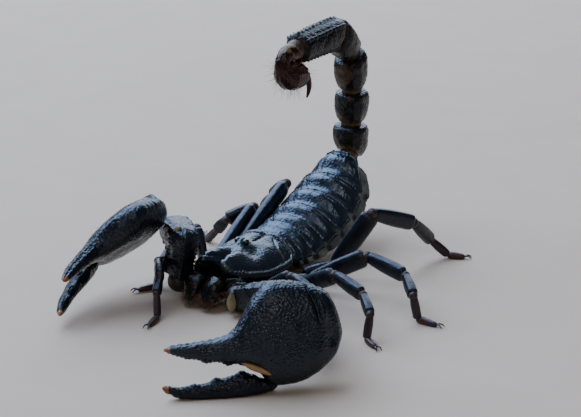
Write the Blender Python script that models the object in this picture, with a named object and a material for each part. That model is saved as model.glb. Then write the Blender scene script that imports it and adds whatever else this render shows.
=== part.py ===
"""An Asian forest scorpion at life size: head to the front (-Y), its left side at +X, feet on the floor.

Sizes and places below are in millimetres, with the floor at z = 0. The model is built in metres."""

import math
from dataclasses import dataclass

import bmesh
import bpy
from mathutils import Matrix, Vector

MM = 0.001
UP = Vector((0, 0, 1))
BACK = Vector((0, 1, 0))
GAP = 0.3

# Head shield (carapace): tilted nose up, deeply notched in front
CARAPACE_HEIGHT = 9.1
CARAPACE_TILT = 7.0
CARAPACE_REAR = 9.2
CARAPACE_REAR_RISE = 1.6
CARAPACE_FRONT = -8.9
CARAPACE_FLOOR = -4.9
CARAPACE_SIDE_FALL = 4.4
CARAPACE_FRONT_LIFT = 1.2
CARAPACE_FRONT_ROUNDING = 1.1
CARAPACE_FRONT_HALF_WIDTH = 5.0
CARAPACE_WIDENING = 3.3
CARAPACE_WIDENING_RATE = 1.25
CARAPACE_CORNER_SETBACKS = (1.6, 0.1)
CARAPACE_UNDERSIDE_SHARE = 0.97
UNDERSIDE_LIFT_SHARE = 0.8
ROUNDED_SHARE = 0.12
FRONT_DROP = 0.5
FRONT_VALLEY = 1.1
REAR_FURROW = 0.5
NOTCH_DEPTH = 3.4
NOTCH_WIDTH = 0.26
TUBERCLE_Y = 1.0
TUBERCLE_HEIGHT = 0.9
TUBERCLE_HALF_WIDTH = 1.7
TUBERCLE_HALF_LENGTH = 2.0
VALLEY_HALF_WIDTH = 1.5
VALLEY_START = -0.5
VALLEY_RUN = 4.0
FURROW_START = 3.0
FURROW_RUN = 2.0
CHELICERA_PATH = (
    (2.3, -6.3, -7.0, 1.6), (2.3, -8.4, -6.6, 1.9), (2.3, -10.0, -6.1, 2.1), (2.2, -11.6, -6.6, 1.8),
    (2.0, -12.6, -7.8, 1.2), (1.7, -13.1, -9.0, 0.5),
)
COXAE_PROFILE = (
    (-5.6, 6.2, 3.4), (-4.0, 7.2, 3.6), (-1.0, 8.0, 3.7), (3.0, 8.3, 3.4), (6.6, 8.2, 2.9), (8.5, 7.0, 2.4),
)
EYE_RADIUS = 0.72
EYE_SPREAD = 1.0
EYE_RISE = 0.15

# Back plates (tergites), front to rear: each one's length, pitch and half-width at its rear edge
PLATE_LENGTHS = (2.0, 2.8, 3.7, 4.6, 5.3, 5.8, 6.8)
PLATE_PITCHES = (4.0, 5.0, 12.0, 16.0, 19.0, 22.0, 27.0)
PLATE_HALF_WIDTHS = (7.4, 7.8, 8.1, 8.3, 8.2, 7.7, 4.4)
PLATE_THICKNESS = 0.8
PLATE_REAR_LIFT = 0.25
PLATE_FALL_SHARE = 0.54
PLATE_FALL_POWER = 2.3
NECK_NARROWING = 0.4
TRUNK_BEND = -7.0
TRUNK_START_HEIGHT = 1.0
TRUNK_DEPTHS = (6.5, 7.0, 7.8, 8.4, 8.6, 8.0, 5.2)
FLANK_BULGE = 0.08
TAIL_ROOT_HALF_WIDTH = 2.6
TAIL_ROOT_DEPTH = 2.6
TAIL_ROOT_RISE = 0.2
TAIL_ROOT_GAP = 0.45
FLANK_ROUNDNESS = 0.5
BELLY_ROUNDNESS = 1.2

# Combs (pectines) under the trunk's front: one comb's root and end at the left, its width and its thickness
PECTINE_ROOT = (1.6, 11.6, 1.0)
PECTINE_END = (7.6, 14.6, 1.1)
PECTINE_WIDTH = 1.6
PECTINE_THICKNESS = 0.7

# Tail: the joints from its root to the sting's root, and each segment's width
TAIL_JOINTS = (
    (-2.2, 42.6, 17.0), (-2.0, 43.0, 24.1), (-1.5, 42.4, 31.7), (-1.1, 41.0, 40.0), (-0.3, 34.4, 46.0),
    (0.0, 19.6, 45.2),
)
TAIL_WIDTHS = (6.9, 6.6, 6.4, 6.2, 6.1)
TAIL_PROFILE = ((0, 0.6), (0.06, 0.76), (0.2, 0.88), (0.5, 0.97), (0.85, 1.03), (0.95, 0.96), (1, 0.76))
LAST_TAIL_PROFILE = ((0, 0.78), (0.08, 0.98), (0.3, 1.05), (0.7, 0.98), (0.93, 0.9), (1, 0.72))

# The telson: the centres and radii of its bulb and of its sting
BULB_PATH = (
    (0.0, 19.0, 45.1, 1.4), (0.0, 17.2, 45.0, 1.6), (0.0, 15.4, 44.0, 1.8), (0.0, 14.9, 42.6, 2.1),
    (0.0, 15.6, 41.1, 2.6), (0.0, 17.6, 40.3, 2.9), (0.0, 20.0, 39.8, 2.7), (0.0, 22.0, 39.4, 1.8),
    (0.0, 22.6, 39.2, 1.1),
)
STING_PATH = (
    (0.0, 23.0, 38.9, 1.0), (0.0, 23.9, 38.3, 0.8), (0.0, 24.4, 37.1, 0.6), (0.0, 24.2, 35.7, 0.44),
    (0.0, 23.5, 34.3, 0.26),
)

# Legs: coxa, knee, patella's end and tibia's end, then the basitarsus's end and the toe, both on the floor
LEGS = {
    "left_1": ((8.2, -4.2, 2.4), (16.0, -4.3, 7.6), (21.0, -5.6, 6.4), (23.6, -5.9, 3.6), (24.2, -6.2),
               (27.2, -8.0)),
    "left_2": ((8.8, 0.2, 2.4), (22.9, 0.3, 8.0), (31.4, -2.7, 6.9), (35.6, -6.6, 5.4), (35.4, -7.4),
               (38.5, -9.1)),
    "left_3": ((9.0, 4.6, 2.3), (23.5, 10.7, 8.7), (33.1, 9.5, 7.2), (37.6, 5.2, 5.6), (38.2, 6.0),
               (42.5, 6.0)),
    "left_4": ((8.8, 9.2, 2.2), (19.4, 18.7, 14.5), (22.9, 29.0, 10.2), (22.9, 36.0, 4.3), (25.6, 38.6),
               (28.8, 40.3)),
    "right_1": ((-8.2, -4.2, 2.4), (-12.0, -10.6, 6.6), (-6.6, -16.6, 6.2), (-4.9, -19.6, 4.3), (-3.0, -21.8),
                (-2.1, -25.5)),
    "right_2": ((-8.8, 0.2, 2.4), (-13.6, 3.6, 9.0), (-15.4, -4.0, 5.4), (-13.8, -8.2, 3.9), (-13.6, -9.6),
                (-15.5, -13.1)),
    "right_3": ((-9.8, 4.8, 2.4), (-12.4, 21.4, 8.8), (-16.0, 16.4, 6.6), (-18.5, 16.3, 3.8), (-21.8, 17.1),
                (-25.0, 20.3)),
    "right_4": ((-8.8, 9.2, 2.2), (-10.6, 30.8, 11.8), (-15.6, 32.6, 7.4), (-19.6, 34.6, 3.4), (-23.4, 35.4),
                (-26.6, 37.4)),
}
# Hips of the legs whose root shows: where the root ends and the thigh rises
HIPS = {
    "left_2": (12.2, 2.2, 2.4),
    "left_3": (12.4, 6.4, 2.5),
    "left_4": (12.8, 14.8, 2.8),
}
HIP_SHARE = 0.8
LEG_WIDTHS = {"1": 2.5, "2": 2.7, "3": 2.9, "4": 3.1}
LEG_ROOT_TRIM = 0.8
FEMUR_SHAPE = (0.8, 1.25)
SHIN_SHAPE = (0.75, 1.05)
KNEE_CLEARANCE = 0.7
ANKLE_CLEARANCE = 0.48
HEEL_RISE = 0.25
TOE_RISE = 0.14
# The foot's centre line and radius: which of its three runs, the share of that run, and the radius as a share
# of the leg's width
FOOT_PROFILE = (
    (0, 0.0, 0.24), (0, 0.2, 0.4), (0, 0.75, 0.42), (0, 1.0, 0.36), (1, 0.3, 0.32), (1, 0.8, 0.32),
    (1, 1.0, 0.3), (2, 0.35, 0.32), (2, 0.75, 0.28), (2, 1.0, 0.17),
)

# Pincer arms: shoulder, elbow, the forearm's root, wrist and the middle of the hand's heel. Hands: the
# directions along the hand and across it to its fixed finger, how many degrees its fingers curl inwards over
# their length, and how far the root and the tip of its free finger drop out of the hand's plane
ARMS = {
    "left": ((7.3, -10.2, 3.4), (22.6, -11.9, 7.6), (22.6, -11.9, 7.6), (34.2, -22.6, 8.4),
             (39.0, -25.8, 8.5)),
    "right": ((-7.5, -9.9, 3.2), (-5.0, -10.2, 15.0), (-5.2, -9.6, 11.9), (-15.3, -2.0, 10.4),
              (-17.7, -9.1, 12.3)),
}
HANDS = {
    "left": ((-0.695, -0.719, 0.0), (-0.18, 0.17, 0.97), 0.0, (0.0, 0.0)),
    "right": ((0.091, -0.995, 0.028), (0.695, 0.084, 0.714), -19.3, (0.9, 4.0)),
}
HAND_THICKNESS = 7.0
CURL_START = 8.0
CURL_LENGTH = 20.0
ARM_WIDTH = 6.2
TROCHANTER_WIDTH = 4.2
TROCHANTER_REACH = (-0.5, 3.0, -0.8)
UPPER_ARM_SHAPE = (0.85, 0.95)
ELBOW_SHARE = 0.62
FOREARM_DEPTH_SHARE = 0.9

COLOURS = {
    "shell": ((0.012, 0.017, 0.022), 0.28),
    "plate": ((0.016, 0.021, 0.026), 0.26),
    "fold": ((0.10, 0.095, 0.075), 0.45),
    "under": ((0.05, 0.035, 0.025), 0.4),
    "leg": ((0.018, 0.017, 0.018), 0.3),
    "foot": ((0.06, 0.022, 0.014), 0.35),
    "sting": ((0.045, 0.014, 0.010), 0.3),
    "eye": ((0.004, 0.004, 0.005), 0.08),
    "jaw": ((0.03, 0.016, 0.010), 0.3),
    "comb": ((0.35, 0.24, 0.14), 0.5),
}


@dataclass(frozen=True)
class Section:
    """One cross-section: its centre, its half-width and half-height as vectors, and how square it is."""

    centre: Vector
    side: Vector
    rise: Vector
    square: float = 2.4

    def point(self, angle):
        """The point of the outline at this angle, which is measured from the side vector towards the rise."""
        power = 2.0 / self.square
        across = math.copysign(abs(math.cos(angle)) ** power, math.cos(angle))
        height = math.copysign(abs(math.sin(angle)) ** power, math.sin(angle))
        return self.centre + self.side * across + self.rise * height


def material(name):
    """The material of this name, made once."""
    if name in bpy.data.materials:
        return bpy.data.materials[name]
    made = bpy.data.materials.new(name)
    made.use_nodes = True
    shader = made.node_tree.nodes["Principled BSDF"]
    colour, roughness = COLOURS[name]
    shader.inputs["Base Color"].default_value = (*colour, 1.0)
    shader.inputs["Roughness"].default_value = roughness
    shader.inputs["Metallic"].default_value = 0.0
    return made


def add(name, form, finish):
    """Turns a form in millimetres into a smooth, named object in metres."""
    bmesh.ops.recalc_face_normals(form, faces=form.faces)
    bmesh.ops.scale(form, vec=(MM, MM, MM), verts=form.verts)
    mesh = bpy.data.meshes.new(name)
    form.to_mesh(mesh)
    form.free()
    mesh.shade_smooth()
    mesh.set_sharp_from_angle(angle=math.radians(50))
    mesh.materials.append(material(finish))
    made = bpy.data.objects.new(name, mesh)
    bpy.context.scene.collection.objects.link(made)
    return made


def loft(sections, sides):
    """A closed solid through these sections, made by extruding its first face from one to the next."""
    form = bmesh.new()
    turn = form.verts.layers.float.new("turn")
    for vert in bmesh.ops.create_circle(form, cap_ends=True, radius=1.0, segments=sides)["verts"]:
        vert[turn] = math.atan2(vert.co.y, vert.co.x)
    form.faces.ensure_lookup_table()
    face = form.faces[0]
    for number, section in enumerate(sections):
        if number:
            grown = bmesh.ops.extrude_face_region(form, geom=[face])["geom"]
            if number > 1:
                bmesh.ops.delete(form, geom=[face], context="FACES_ONLY")
            face = next(item for item in grown if isinstance(item, bmesh.types.BMFace))
        for vert in face.verts:
            vert.co = section.point(vert[turn])
    return form


def frame_of(axis, hint):
    """The side and rise directions square to an axis, with the rise as near the hint as it can be."""
    side = axis.cross(hint).normalized()
    return side, side.cross(axis).normalized()


def limb(start, end, width, depth, profile, hint=UP, square=2.4):
    """The sections of a straight limb: its profile gives the share of full width at shares of its length."""
    axis = (end - start).normalized()
    side, rise = frame_of(axis, hint)
    return [
        Section(start.lerp(end, along), side * (width / 2 * share), rise * (depth / 2 * share), square)
        for along, share in profile
    ]


def clearance(before, after, half_width):
    """How far a limb starts beyond a joint so that it clears the round end of the limb before it."""
    return GAP + half_width * math.sin(min(before.angle(after), math.pi / 2))


def trimmed(start, end, off_start, off_end=0.0):
    """The ends of a limb, drawn in from its joints so that it stays clear of its neighbours."""
    axis = (end - start).normalized()
    return start + axis * off_start, end - axis * off_end


def cut_at_floor(form):
    """Takes off all that lies below the floor and closes the cut with a flat."""
    geometry = form.verts[:] + form.edges[:] + form.faces[:]
    bmesh.ops.bisect_plane(form, geom=geometry, plane_co=(0, 0, 0), plane_no=(0, 0, 1), clear_inner=True)
    rim = [edge for edge in form.edges if edge.is_boundary]
    bmesh.ops.holes_fill(form, edges=rim)


KNOBBED = ((0, 0.5), (0.06, 0.76), (0.2, 0.86), (0.6, 1.0), (0.88, 0.98), (0.97, 0.78), (1, 0.5))
SHAFT = ((0, 0.55), (0.08, 0.85), (0.5, 1.0), (0.9, 0.92), (1, 0.6))


# ---- Head ----


def head_frame():
    """From the head's own axes to the model's: the shield is tilted nose up about its middle."""
    tilt = Matrix.Rotation(math.radians(-CARAPACE_TILT), 4, "X")
    return Matrix.Translation((0, 0, CARAPACE_HEIGHT)) @ tilt


def shield_half_width(y):
    """Half the shield's width, which grows from its lobes to just behind its middle."""
    share = (y - CARAPACE_FRONT) / (CARAPACE_REAR - CARAPACE_FRONT)
    grown = math.sin(min(share * CARAPACE_WIDENING_RATE, 1.0) * math.pi / 2)
    return CARAPACE_FRONT_HALF_WIDTH + CARAPACE_WIDENING * grown


def front_lift(y):
    """How far the shield's lower edge has risen towards its front."""
    return CARAPACE_FRONT_LIFT * max(0.0, y / CARAPACE_FRONT) ** 1.5


def shield_height(x, y):
    """The height of the shield's upper face: a dome with rear furrow, front valley and the eyes' mound."""
    across = abs(x) / shield_half_width(y)
    front_drop = FRONT_DROP * max(0.0, y / CARAPACE_FRONT) ** 2
    off_mound = (x / TUBERCLE_HALF_WIDTH) ** 2 + ((y - TUBERCLE_Y) / TUBERCLE_HALF_LENGTH) ** 2
    mound = TUBERCLE_HEIGHT * math.exp(-off_mound)
    furrow = REAR_FURROW * math.exp(-(x ** 2)) * max(0.0, min(1.0, (y - FURROW_START) / FURROW_RUN))
    deepening = max(0.0, min(1.0, (VALLEY_START - y) / VALLEY_RUN))
    valley = FRONT_VALLEY * math.exp(-((x / VALLEY_HALF_WIDTH) ** 2)) * deepening
    side_fall = (front_lift(y) - CARAPACE_SIDE_FALL) * across ** 2.4
    rear_rise = CARAPACE_REAR_RISE * max(0.0, y / CARAPACE_REAR) ** 1.5
    return side_fall + rear_rise - front_drop + mound - furrow - valley


def make_carapace():
    """The head shield: a domed grid, notched in front, with its underside extruded flat."""
    form = bmesh.new()
    columns, rows = 14, 12
    bmesh.ops.create_grid(form, x_segments=columns, y_segments=rows, size=1.0)
    for vert in form.verts:
        share = (vert.co.y + 1) / 2
        across = vert.co.x
        notch = NOTCH_DEPTH * math.exp(-((across / NOTCH_WIDTH) ** 2))
        front = CARAPACE_FRONT + notch + CARAPACE_CORNER_SETBACKS[0] * abs(across) ** 5
        rear = CARAPACE_REAR - CARAPACE_CORNER_SETBACKS[1] * abs(across) ** 4
        y = front + (rear - front) * share
        x = across * shield_half_width(y)
        rounding = CARAPACE_FRONT_ROUNDING * (1 - across ** 4) * max(0.0, 1 - share / ROUNDED_SHARE) ** 2
        vert.co = (x, y, shield_height(x, y) - rounding)
    under = bmesh.ops.extrude_face_region(form, geom=form.faces[:])["geom"]
    for vert in (item for item in under if isinstance(item, bmesh.types.BMVert)):
        vert.co.z = CARAPACE_FLOOR + front_lift(vert.co.y) * UNDERSIDE_LIFT_SHARE
        vert.co.x *= CARAPACE_UNDERSIDE_SHARE
    form.transform(head_frame())
    return add("carapace", form, "shell")


def eye_centre(side):
    """The centre of a median eye, on the flank of its mound."""
    x = side * EYE_SPREAD
    return Vector((x, TUBERCLE_Y, shield_height(x, TUBERCLE_Y) + EYE_RISE))


def make_eyes(carapace):
    """The two median eyes, each in a socket cut into the shield."""
    for word, side in (("left", 1), ("right", -1)):
        centre = head_frame() @ eye_centre(side)
        socket_form = bmesh.new()
        bmesh.ops.create_icosphere(socket_form, subdivisions=2, radius=EYE_RADIUS + GAP)
        bmesh.ops.translate(socket_form, vec=centre, verts=socket_form.verts)
        socket = add("socket_" + word, socket_form, "shell")
        socket.hide_render = True
        socket.display_type = "WIRE"
        cut = carapace.modifiers.new("socket_" + word, "BOOLEAN")
        cut.operation = "DIFFERENCE"
        cut.object = socket
        eye = bmesh.new()
        bmesh.ops.create_icosphere(eye, subdivisions=2, radius=EYE_RADIUS)
        bmesh.ops.translate(eye, vec=centre, verts=eye.verts)
        add("eye_" + word, eye, "eye")


def make_chelicera(word, side):
    """One of the two jaws under the shield's front, with its downturned finger."""
    path = [(Vector((side * x, y, z)), half) for x, y, z, half in CHELICERA_PATH]
    sections = [Section(centre, Vector((half, 0, 0)), Vector((0, 0, half)), 2.5) for centre, half in path]
    form = loft(sections, 10)
    form.transform(head_frame())
    add("chelicera_" + word, form, "jaw")


def make_coxae():
    """The block of leg roots and breastbone below the shield, with a shelf for each leg."""
    top = CARAPACE_FLOOR - GAP
    sections = [
        Section(Vector((0, y, top - deep / 2)), Vector((half, 0, 0)), Vector((0, 0, deep / 2)), 3.4)
        for y, half, deep in COXAE_PROFILE
    ]
    form = loft(sections, 14)
    form.transform(head_frame())
    add("coxae", form, "under")


# ---- Trunk ----


def trunk_path():
    """The middle of each back plate's edges and its direction, from the shield's rear to the tail."""
    point = head_frame() @ Vector((0, CARAPACE_REAR + GAP, TRUNK_START_HEIGHT))
    stops = []
    total = sum(PLATE_LENGTHS)
    done = 0.0
    for length, pitch in zip(PLATE_LENGTHS, PLATE_PITCHES):
        turn = math.radians(TRUNK_BEND) * (done + length / 2) / total
        rise = math.radians(pitch)
        axis = Vector((math.sin(turn) * math.cos(rise), math.cos(turn) * math.cos(rise), math.sin(rise)))
        stops.append((point, point + axis * length, axis))
        point = point + axis * length
        done += length
    return stops


def plate_drop(share, half_width):
    """How far a back plate falls from its middle to its side."""
    return PLATE_FALL_SHARE * half_width * share ** PLATE_FALL_POWER


def make_plate(number, start, end, axis, half_front, half_rear):
    """One back plate: a curved sheet with thickness, whose rear edge stands a little proud of the next."""
    form = bmesh.new()
    columns, rows = 12, 2
    bmesh.ops.create_grid(form, x_segments=columns, y_segments=rows, size=1.0)
    side, rise = frame_of(axis, UP)
    length = (end - start).length - GAP
    for vert in form.verts:
        along = (vert.co.y + 1) / 2
        across = vert.co.x
        half = half_front + (half_rear - half_front) * along
        lift = PLATE_REAR_LIFT * along - plate_drop(abs(across), half)
        vert.co = start + axis * (length * along) + side * (across * half) + rise * lift
    inner = bmesh.ops.extrude_face_region(form, geom=form.faces[:])["geom"]
    for vert in (item for item in inner if isinstance(item, bmesh.types.BMVert)):
        vert.co -= rise * PLATE_THICKNESS
    add(f"tergite_{number}", form, "plate")


def make_plates():
    """The seven back plates in order."""
    half_front = PLATE_HALF_WIDTHS[0] - NECK_NARROWING
    for number, (stop, half_rear) in enumerate(zip(trunk_path(), PLATE_HALF_WIDTHS), start=1):
        start, end, axis = stop
        make_plate(number, start, end, axis, half_front, half_rear)
        half_front = half_rear


@dataclass(frozen=True)
class TrunkSection:
    """A cross-section of the soft body: it fits the plate above it and swells below the plate's edge."""

    centre: Vector
    side: Vector
    rise: Vector
    half: float
    deep: float

    def point(self, angle):
        """The point at this angle: over the back it follows the plate, and below it rounds into the belly."""
        share = math.cos(angle)
        if math.sin(angle) >= 0:
            height = -plate_drop(abs(share), self.half)
            return self.centre + self.side * (share * self.half) + self.rise * height
        low = abs(math.sin(angle))
        shoulder = plate_drop(1.0, self.half)
        bulge = 1 + FLANK_BULGE * math.sin(low * math.pi)
        width = self.half * math.copysign(abs(share) ** FLANK_ROUNDNESS, share) * bulge
        height = -shoulder - (self.deep - shoulder) * low ** BELLY_ROUNDNESS
        return self.centre + self.side * width + self.rise * height


def make_abdomen():
    """The soft body under the back plates, with its folded flanks and its plated belly in one."""
    sections = []
    lid = PLATE_THICKNESS + GAP
    stops = trunk_path()
    halves = (PLATE_HALF_WIDTHS[0] - NECK_NARROWING, *PLATE_HALF_WIDTHS)
    depths = (TRUNK_DEPTHS[0], *TRUNK_DEPTHS)
    points = [(stops[0][0], stops[0][2])] + [(end, axis) for _, end, axis in stops]
    directions = [axis for _, axis in points[1:]] + [tail_axes()[1]]
    for number, ((point, axis), following) in enumerate(zip(points, directions)):
        side, rise = frame_of((axis + following).normalized(), UP)
        under_plate = point - frame_of(axis, UP)[1] * lid
        sections.append(TrunkSection(under_plate, side, rise, halves[number], depths[number]))
    top = Vector(TAIL_JOINTS[0]) + rise * TAIL_ROOT_RISE + side.cross(rise) * TAIL_ROOT_GAP
    sections.append(TrunkSection(top, side, rise, TAIL_ROOT_HALF_WIDTH, TAIL_ROOT_DEPTH))
    form = loft(sections, 18)
    add("abdomen", form, "fold")


def make_pectine(word, side):
    """One of the two combs under the trunk's front, as the bar that carries its teeth."""
    root, end = (Vector((side * x, y, z)) for x, y, z in (PECTINE_ROOT, PECTINE_END))
    form = loft(limb(root, end, PECTINE_WIDTH, PECTINE_THICKNESS, SHAFT), 8)
    add("pectine_" + word, form, "comb")


# ---- Tail ----

def tail_axes():
    """The direction of each tail segment, after the direction of the last back plate."""
    joints = [Vector(joint) for joint in TAIL_JOINTS]
    trunk_end = trunk_path()[-1][2]
    return [trunk_end] + [(after - before).normalized() for before, after in zip(joints, joints[1:])]


def slant(direction, other, axis):
    """How far a point a unit off in this direction moves along the axis to lie between two segments."""
    return -direction.dot(other) / (1 + axis.dot(other))


def slanted(section, share, axis, before, after):
    """The section tilted so that a segment's two ends lie in the planes halfway to its neighbours."""
    tilts = [
        size + axis * (slant(size, before, axis) * (1 - share) + slant(size, after, axis) * share)
        for size in (section.side, section.rise)
    ]
    return Section(section.centre, *tilts, section.square)


def make_tail():
    """The tail's five segments, each a keeled barrel whose slanted ends meet its neighbours."""
    joints = [Vector(joint) for joint in TAIL_JOINTS]
    axes = tail_axes()
    axes.append(axes[-1])
    for number, width in enumerate(TAIL_WIDTHS):
        before, axis, after = axes[number:number + 3]
        hint = BACK if abs(axis.z) > 0.5 else UP
        start, end = trimmed(joints[number], joints[number + 1], GAP / 2, GAP / 2)
        profile = LAST_TAIL_PROFILE if number == len(TAIL_WIDTHS) - 1 else TAIL_PROFILE
        sections = [
            slanted(section, share, axis, before, after)
            for section, (share, _) in zip(limb(start, end, width, width, profile, hint, 2.6), profile)
        ]
        add(f"tail_{number + 1}", loft(sections, 12), "shell")


def make_sting():
    """The bulb and the curved sting that end the tail, hanging from its last segment."""
    add("telson_bulb", curved_tube(BULB_PATH, 12), "sting")
    add("telson_sting", curved_tube(STING_PATH, 8), "sting")


def curved_tube(path, sides, square=2.0):
    """A round tube through the centres of a path, whose last number in each row is its radius."""
    centres = [Vector(row[:3]) for row in path]
    sections = []
    for number, row in enumerate(path):
        before = centres[max(number - 1, 0)]
        after = centres[min(number + 1, len(centres) - 1)]
        side, rise = frame_of((after - before).normalized(), Vector((1, 0, 0)))
        sections.append(Section(centres[number], side * row[3], rise * row[3], square))
    return loft(sections, sides)


# ---- Legs ----


def thigh_sections(word, coxa, knee, width):
    """The thigh's sections. On some legs its root runs out from the body first and then bends at the hip."""
    wide, deep = (width * share for share in FEMUR_SHAPE)
    if word not in HIPS:
        return limb(*trimmed(coxa, knee, LEG_ROOT_TRIM), wide, deep, KNOBBED)
    hip = Vector(HIPS[word])
    start, _ = trimmed(coxa, hip, LEG_ROOT_TRIM)
    root = limb(start, hip, wide * HIP_SHARE, deep * HIP_SHARE, ((0, 0.8), (0.6, 1.0)))
    side, rise = frame_of(((hip - start).normalized() + (knee - hip).normalized()).normalized(), UP)
    bend = Section(hip, side * (wide / 2 * HIP_SHARE), rise * (deep / 2 * HIP_SHARE), 2.4)
    return root + [bend] + limb(hip, knee, wide, deep, KNOBBED)[1:]


def make_leg(word, joints):
    """One leg as three solids: the thigh, the shin and the foot, which bends twice to stand on the floor."""
    width = LEG_WIDTHS[word[-1]]
    coxa, knee, shin_end, ankle = (Vector(joint) for joint in joints[:4])
    heel = Vector((*joints[4], width * HEEL_RISE))
    toe = Vector((*joints[5], width * TOE_RISE))
    add(f"leg_{word}_femur", loft(thigh_sections(word, coxa, knee, width), 8), "leg")
    gap = clearance(knee - coxa, shin_end - knee, width * KNEE_CLEARANCE)
    shin = limb(*trimmed(knee, shin_end, gap), *(width * share for share in SHIN_SHAPE), KNOBBED)
    add(f"leg_{word}_patella", loft(shin, 8), "leg")
    gap = clearance(shin_end - knee, ankle - shin_end, width * ANKLE_CLEARANCE)
    start, end = trimmed(shin_end, ankle, gap)
    runs = ((start, end), (end, heel), (heel, toe))
    path = [(*runs[run][0].lerp(runs[run][1], share), width * radius) for run, share, radius in FOOT_PROFILE]
    form = curved_tube(path, 8)
    cut_at_floor(form)
    add(f"leg_{word}_foot", form, "foot")


# ---- Pincer arms ----

# The hand's outline: along it from its heel, its lower and upper edges, and its share of full thickness
HAND_OUTLINE = (
    (-2.9, -0.6, 2.6, 0.4), (-2.0, -2.2, 5.2, 0.66), (-0.4, -4.0, 7.9, 0.86), (2.4, -6.2, 9.5, 1.0),
    (5.2, -7.3, 10.1, 1.0), (8.4, -7.6, 10.4, 0.98), (10.4, -7.1, 9.9, 0.92), (11.6, -5.6, 8.9, 0.86),
    (12.9, -4.2, 7.5, 0.8), (14.3, -3.5, 5.2, 0.7), (15.9, -3.2, 2.8, 0.56), (17.6, -3.0, 1.6, 0.48),
    (20.2, -2.5, 1.1, 0.42), (24.5, -1.6, 0.7, 0.32), (27.2, -0.7, 0.5, 0.2), (28.3, -0.3, 0.2, 0.08),
)
FINGER_OUTLINE = (
    (11.2, -8.4, -7.2, 0.26), (11.9, -8.8, -6.3, 0.38), (12.9, -9.0, -5.4, 0.46), (15.0, -9.2, -5.2, 0.46),
    (18.6, -9.3, -5.8, 0.42), (22.0, -9.1, -6.4, 0.34), (25.8, -8.4, -6.7, 0.26), (28.0, -7.4, -6.3, 0.14),
    (28.9, -6.9, -6.2, 0.06),
)


def outline_sections(outline, heel, along, across, curl, drops=(0.0, 0.0)):
    """The sections of a flat form whose outline lies in the hand's plane, or drops from it, and curls in."""
    thick = along.cross(across)
    sections = []
    for place, low, high, share in outline:
        bent = max(0.0, place - CURL_START)
        turn = math.radians(curl) * bent / CURL_LENGTH
        chord = math.sin(turn / 2) / (turn / 2) if turn else 1.0
        onward = along * math.cos(turn / 2) + thick * math.sin(turn / 2)
        middle = heel + along * min(place, CURL_START) + onward * (bent * chord)
        through = thick * math.cos(turn) - along * math.sin(turn)
        reach = (place - outline[0][0]) / (outline[-1][0] - outline[0][0])
        drop = drops[0] + (drops[1] - drops[0]) * reach
        centre = middle + across * ((low + high) / 2) - through * drop
        half_thickness = through * (HAND_THICKNESS / 2 * share)
        sections.append(Section(centre, across * ((high - low) / 2), half_thickness, 2.5))
    return sections


def make_arm(word):
    """One pincer arm: a short root, upper arm, forearm, the hand with its fixed finger, and a free finger."""
    shoulder, elbow, forearm_root, wrist, heel = (Vector(joint) for joint in ARMS[word])
    side = 1 if word == "left" else -1
    root = shoulder + Vector((side * TROCHANTER_REACH[0], *TROCHANTER_REACH[1:]))
    form = loft(limb(root, shoulder, TROCHANTER_WIDTH, TROCHANTER_WIDTH, KNOBBED), 10)
    add(f"arm_{word}_trochanter", form, "shell")
    start, end = trimmed(shoulder, elbow, clearance(shoulder - root, elbow - shoulder, TROCHANTER_WIDTH / 2))
    upper_arm = limb(start, end, *(ARM_WIDTH * share for share in UPPER_ARM_SHAPE), KNOBBED, square=3.2)
    add(f"arm_{word}_femur", loft(upper_arm, 12), "shell")
    gap = clearance(elbow - shoulder, wrist - forearm_root, ARM_WIDTH * ELBOW_SHARE)
    start, end = trimmed(forearm_root, wrist, gap)
    forearm = limb(start, end, ARM_WIDTH, ARM_WIDTH * FOREARM_DEPTH_SHARE, KNOBBED, square=3.0)
    add(f"arm_{word}_patella", loft(forearm, 12), "shell")
    along, across, curl, drops = HANDS[word]
    along = Vector(along).normalized()
    across = frame_of(along, Vector(across))[1]
    palm = loft(outline_sections(HAND_OUTLINE, heel, along, across, curl), 16)
    cut_at_floor(palm)
    add(f"arm_{word}_hand", palm, "shell")
    finger = loft(outline_sections(FINGER_OUTLINE, heel, along, across, curl, drops), 10)
    cut_at_floor(finger)
    add(f"arm_{word}_finger", finger, "shell")


def centre_footprint():
    """Moves the animal so that the origin is on the floor below the middle of its outline."""
    solids = list(bpy.data.objects)
    spots = [vert.co for made in solids for vert in made.data.vertices]
    middle = [(min(spot[axis] for spot in spots) + max(spot[axis] for spot in spots)) / 2 for axis in (0, 1)]
    for made in solids:
        made.data.transform(Matrix.Translation((-middle[0], -middle[1], 0)))


def main():
    """Clears the scene and builds the animal from its head to its sting."""
    for old in list(bpy.data.objects):
        bpy.data.objects.remove(old)
    make_eyes(make_carapace())
    for word, side in (("left", 1), ("right", -1)):
        make_chelicera(word, side)
        make_pectine(word, side)
        make_arm(word)
    make_coxae()
    make_plates()
    make_abdomen()
    make_tail()
    make_sting()
    for word, joints in LEGS.items():
        make_leg(word, joints)
    centre_footprint()


main()
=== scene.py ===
"""The looks of a life-size Asian forest scorpion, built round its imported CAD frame.

Sizes and places are in millimetres, in the animal's own axes: the head points to -Y, its left is +X and
the floor is z = 0. Each piece is moved onto the frame and turned into metres as it is finished."""

import logging
import math
from collections.abc import Callable, Sequence
from dataclasses import dataclass
from enum import Enum
from random import Random

import bmesh
import bpy
from mathutils import Matrix, Vector, noise

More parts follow.
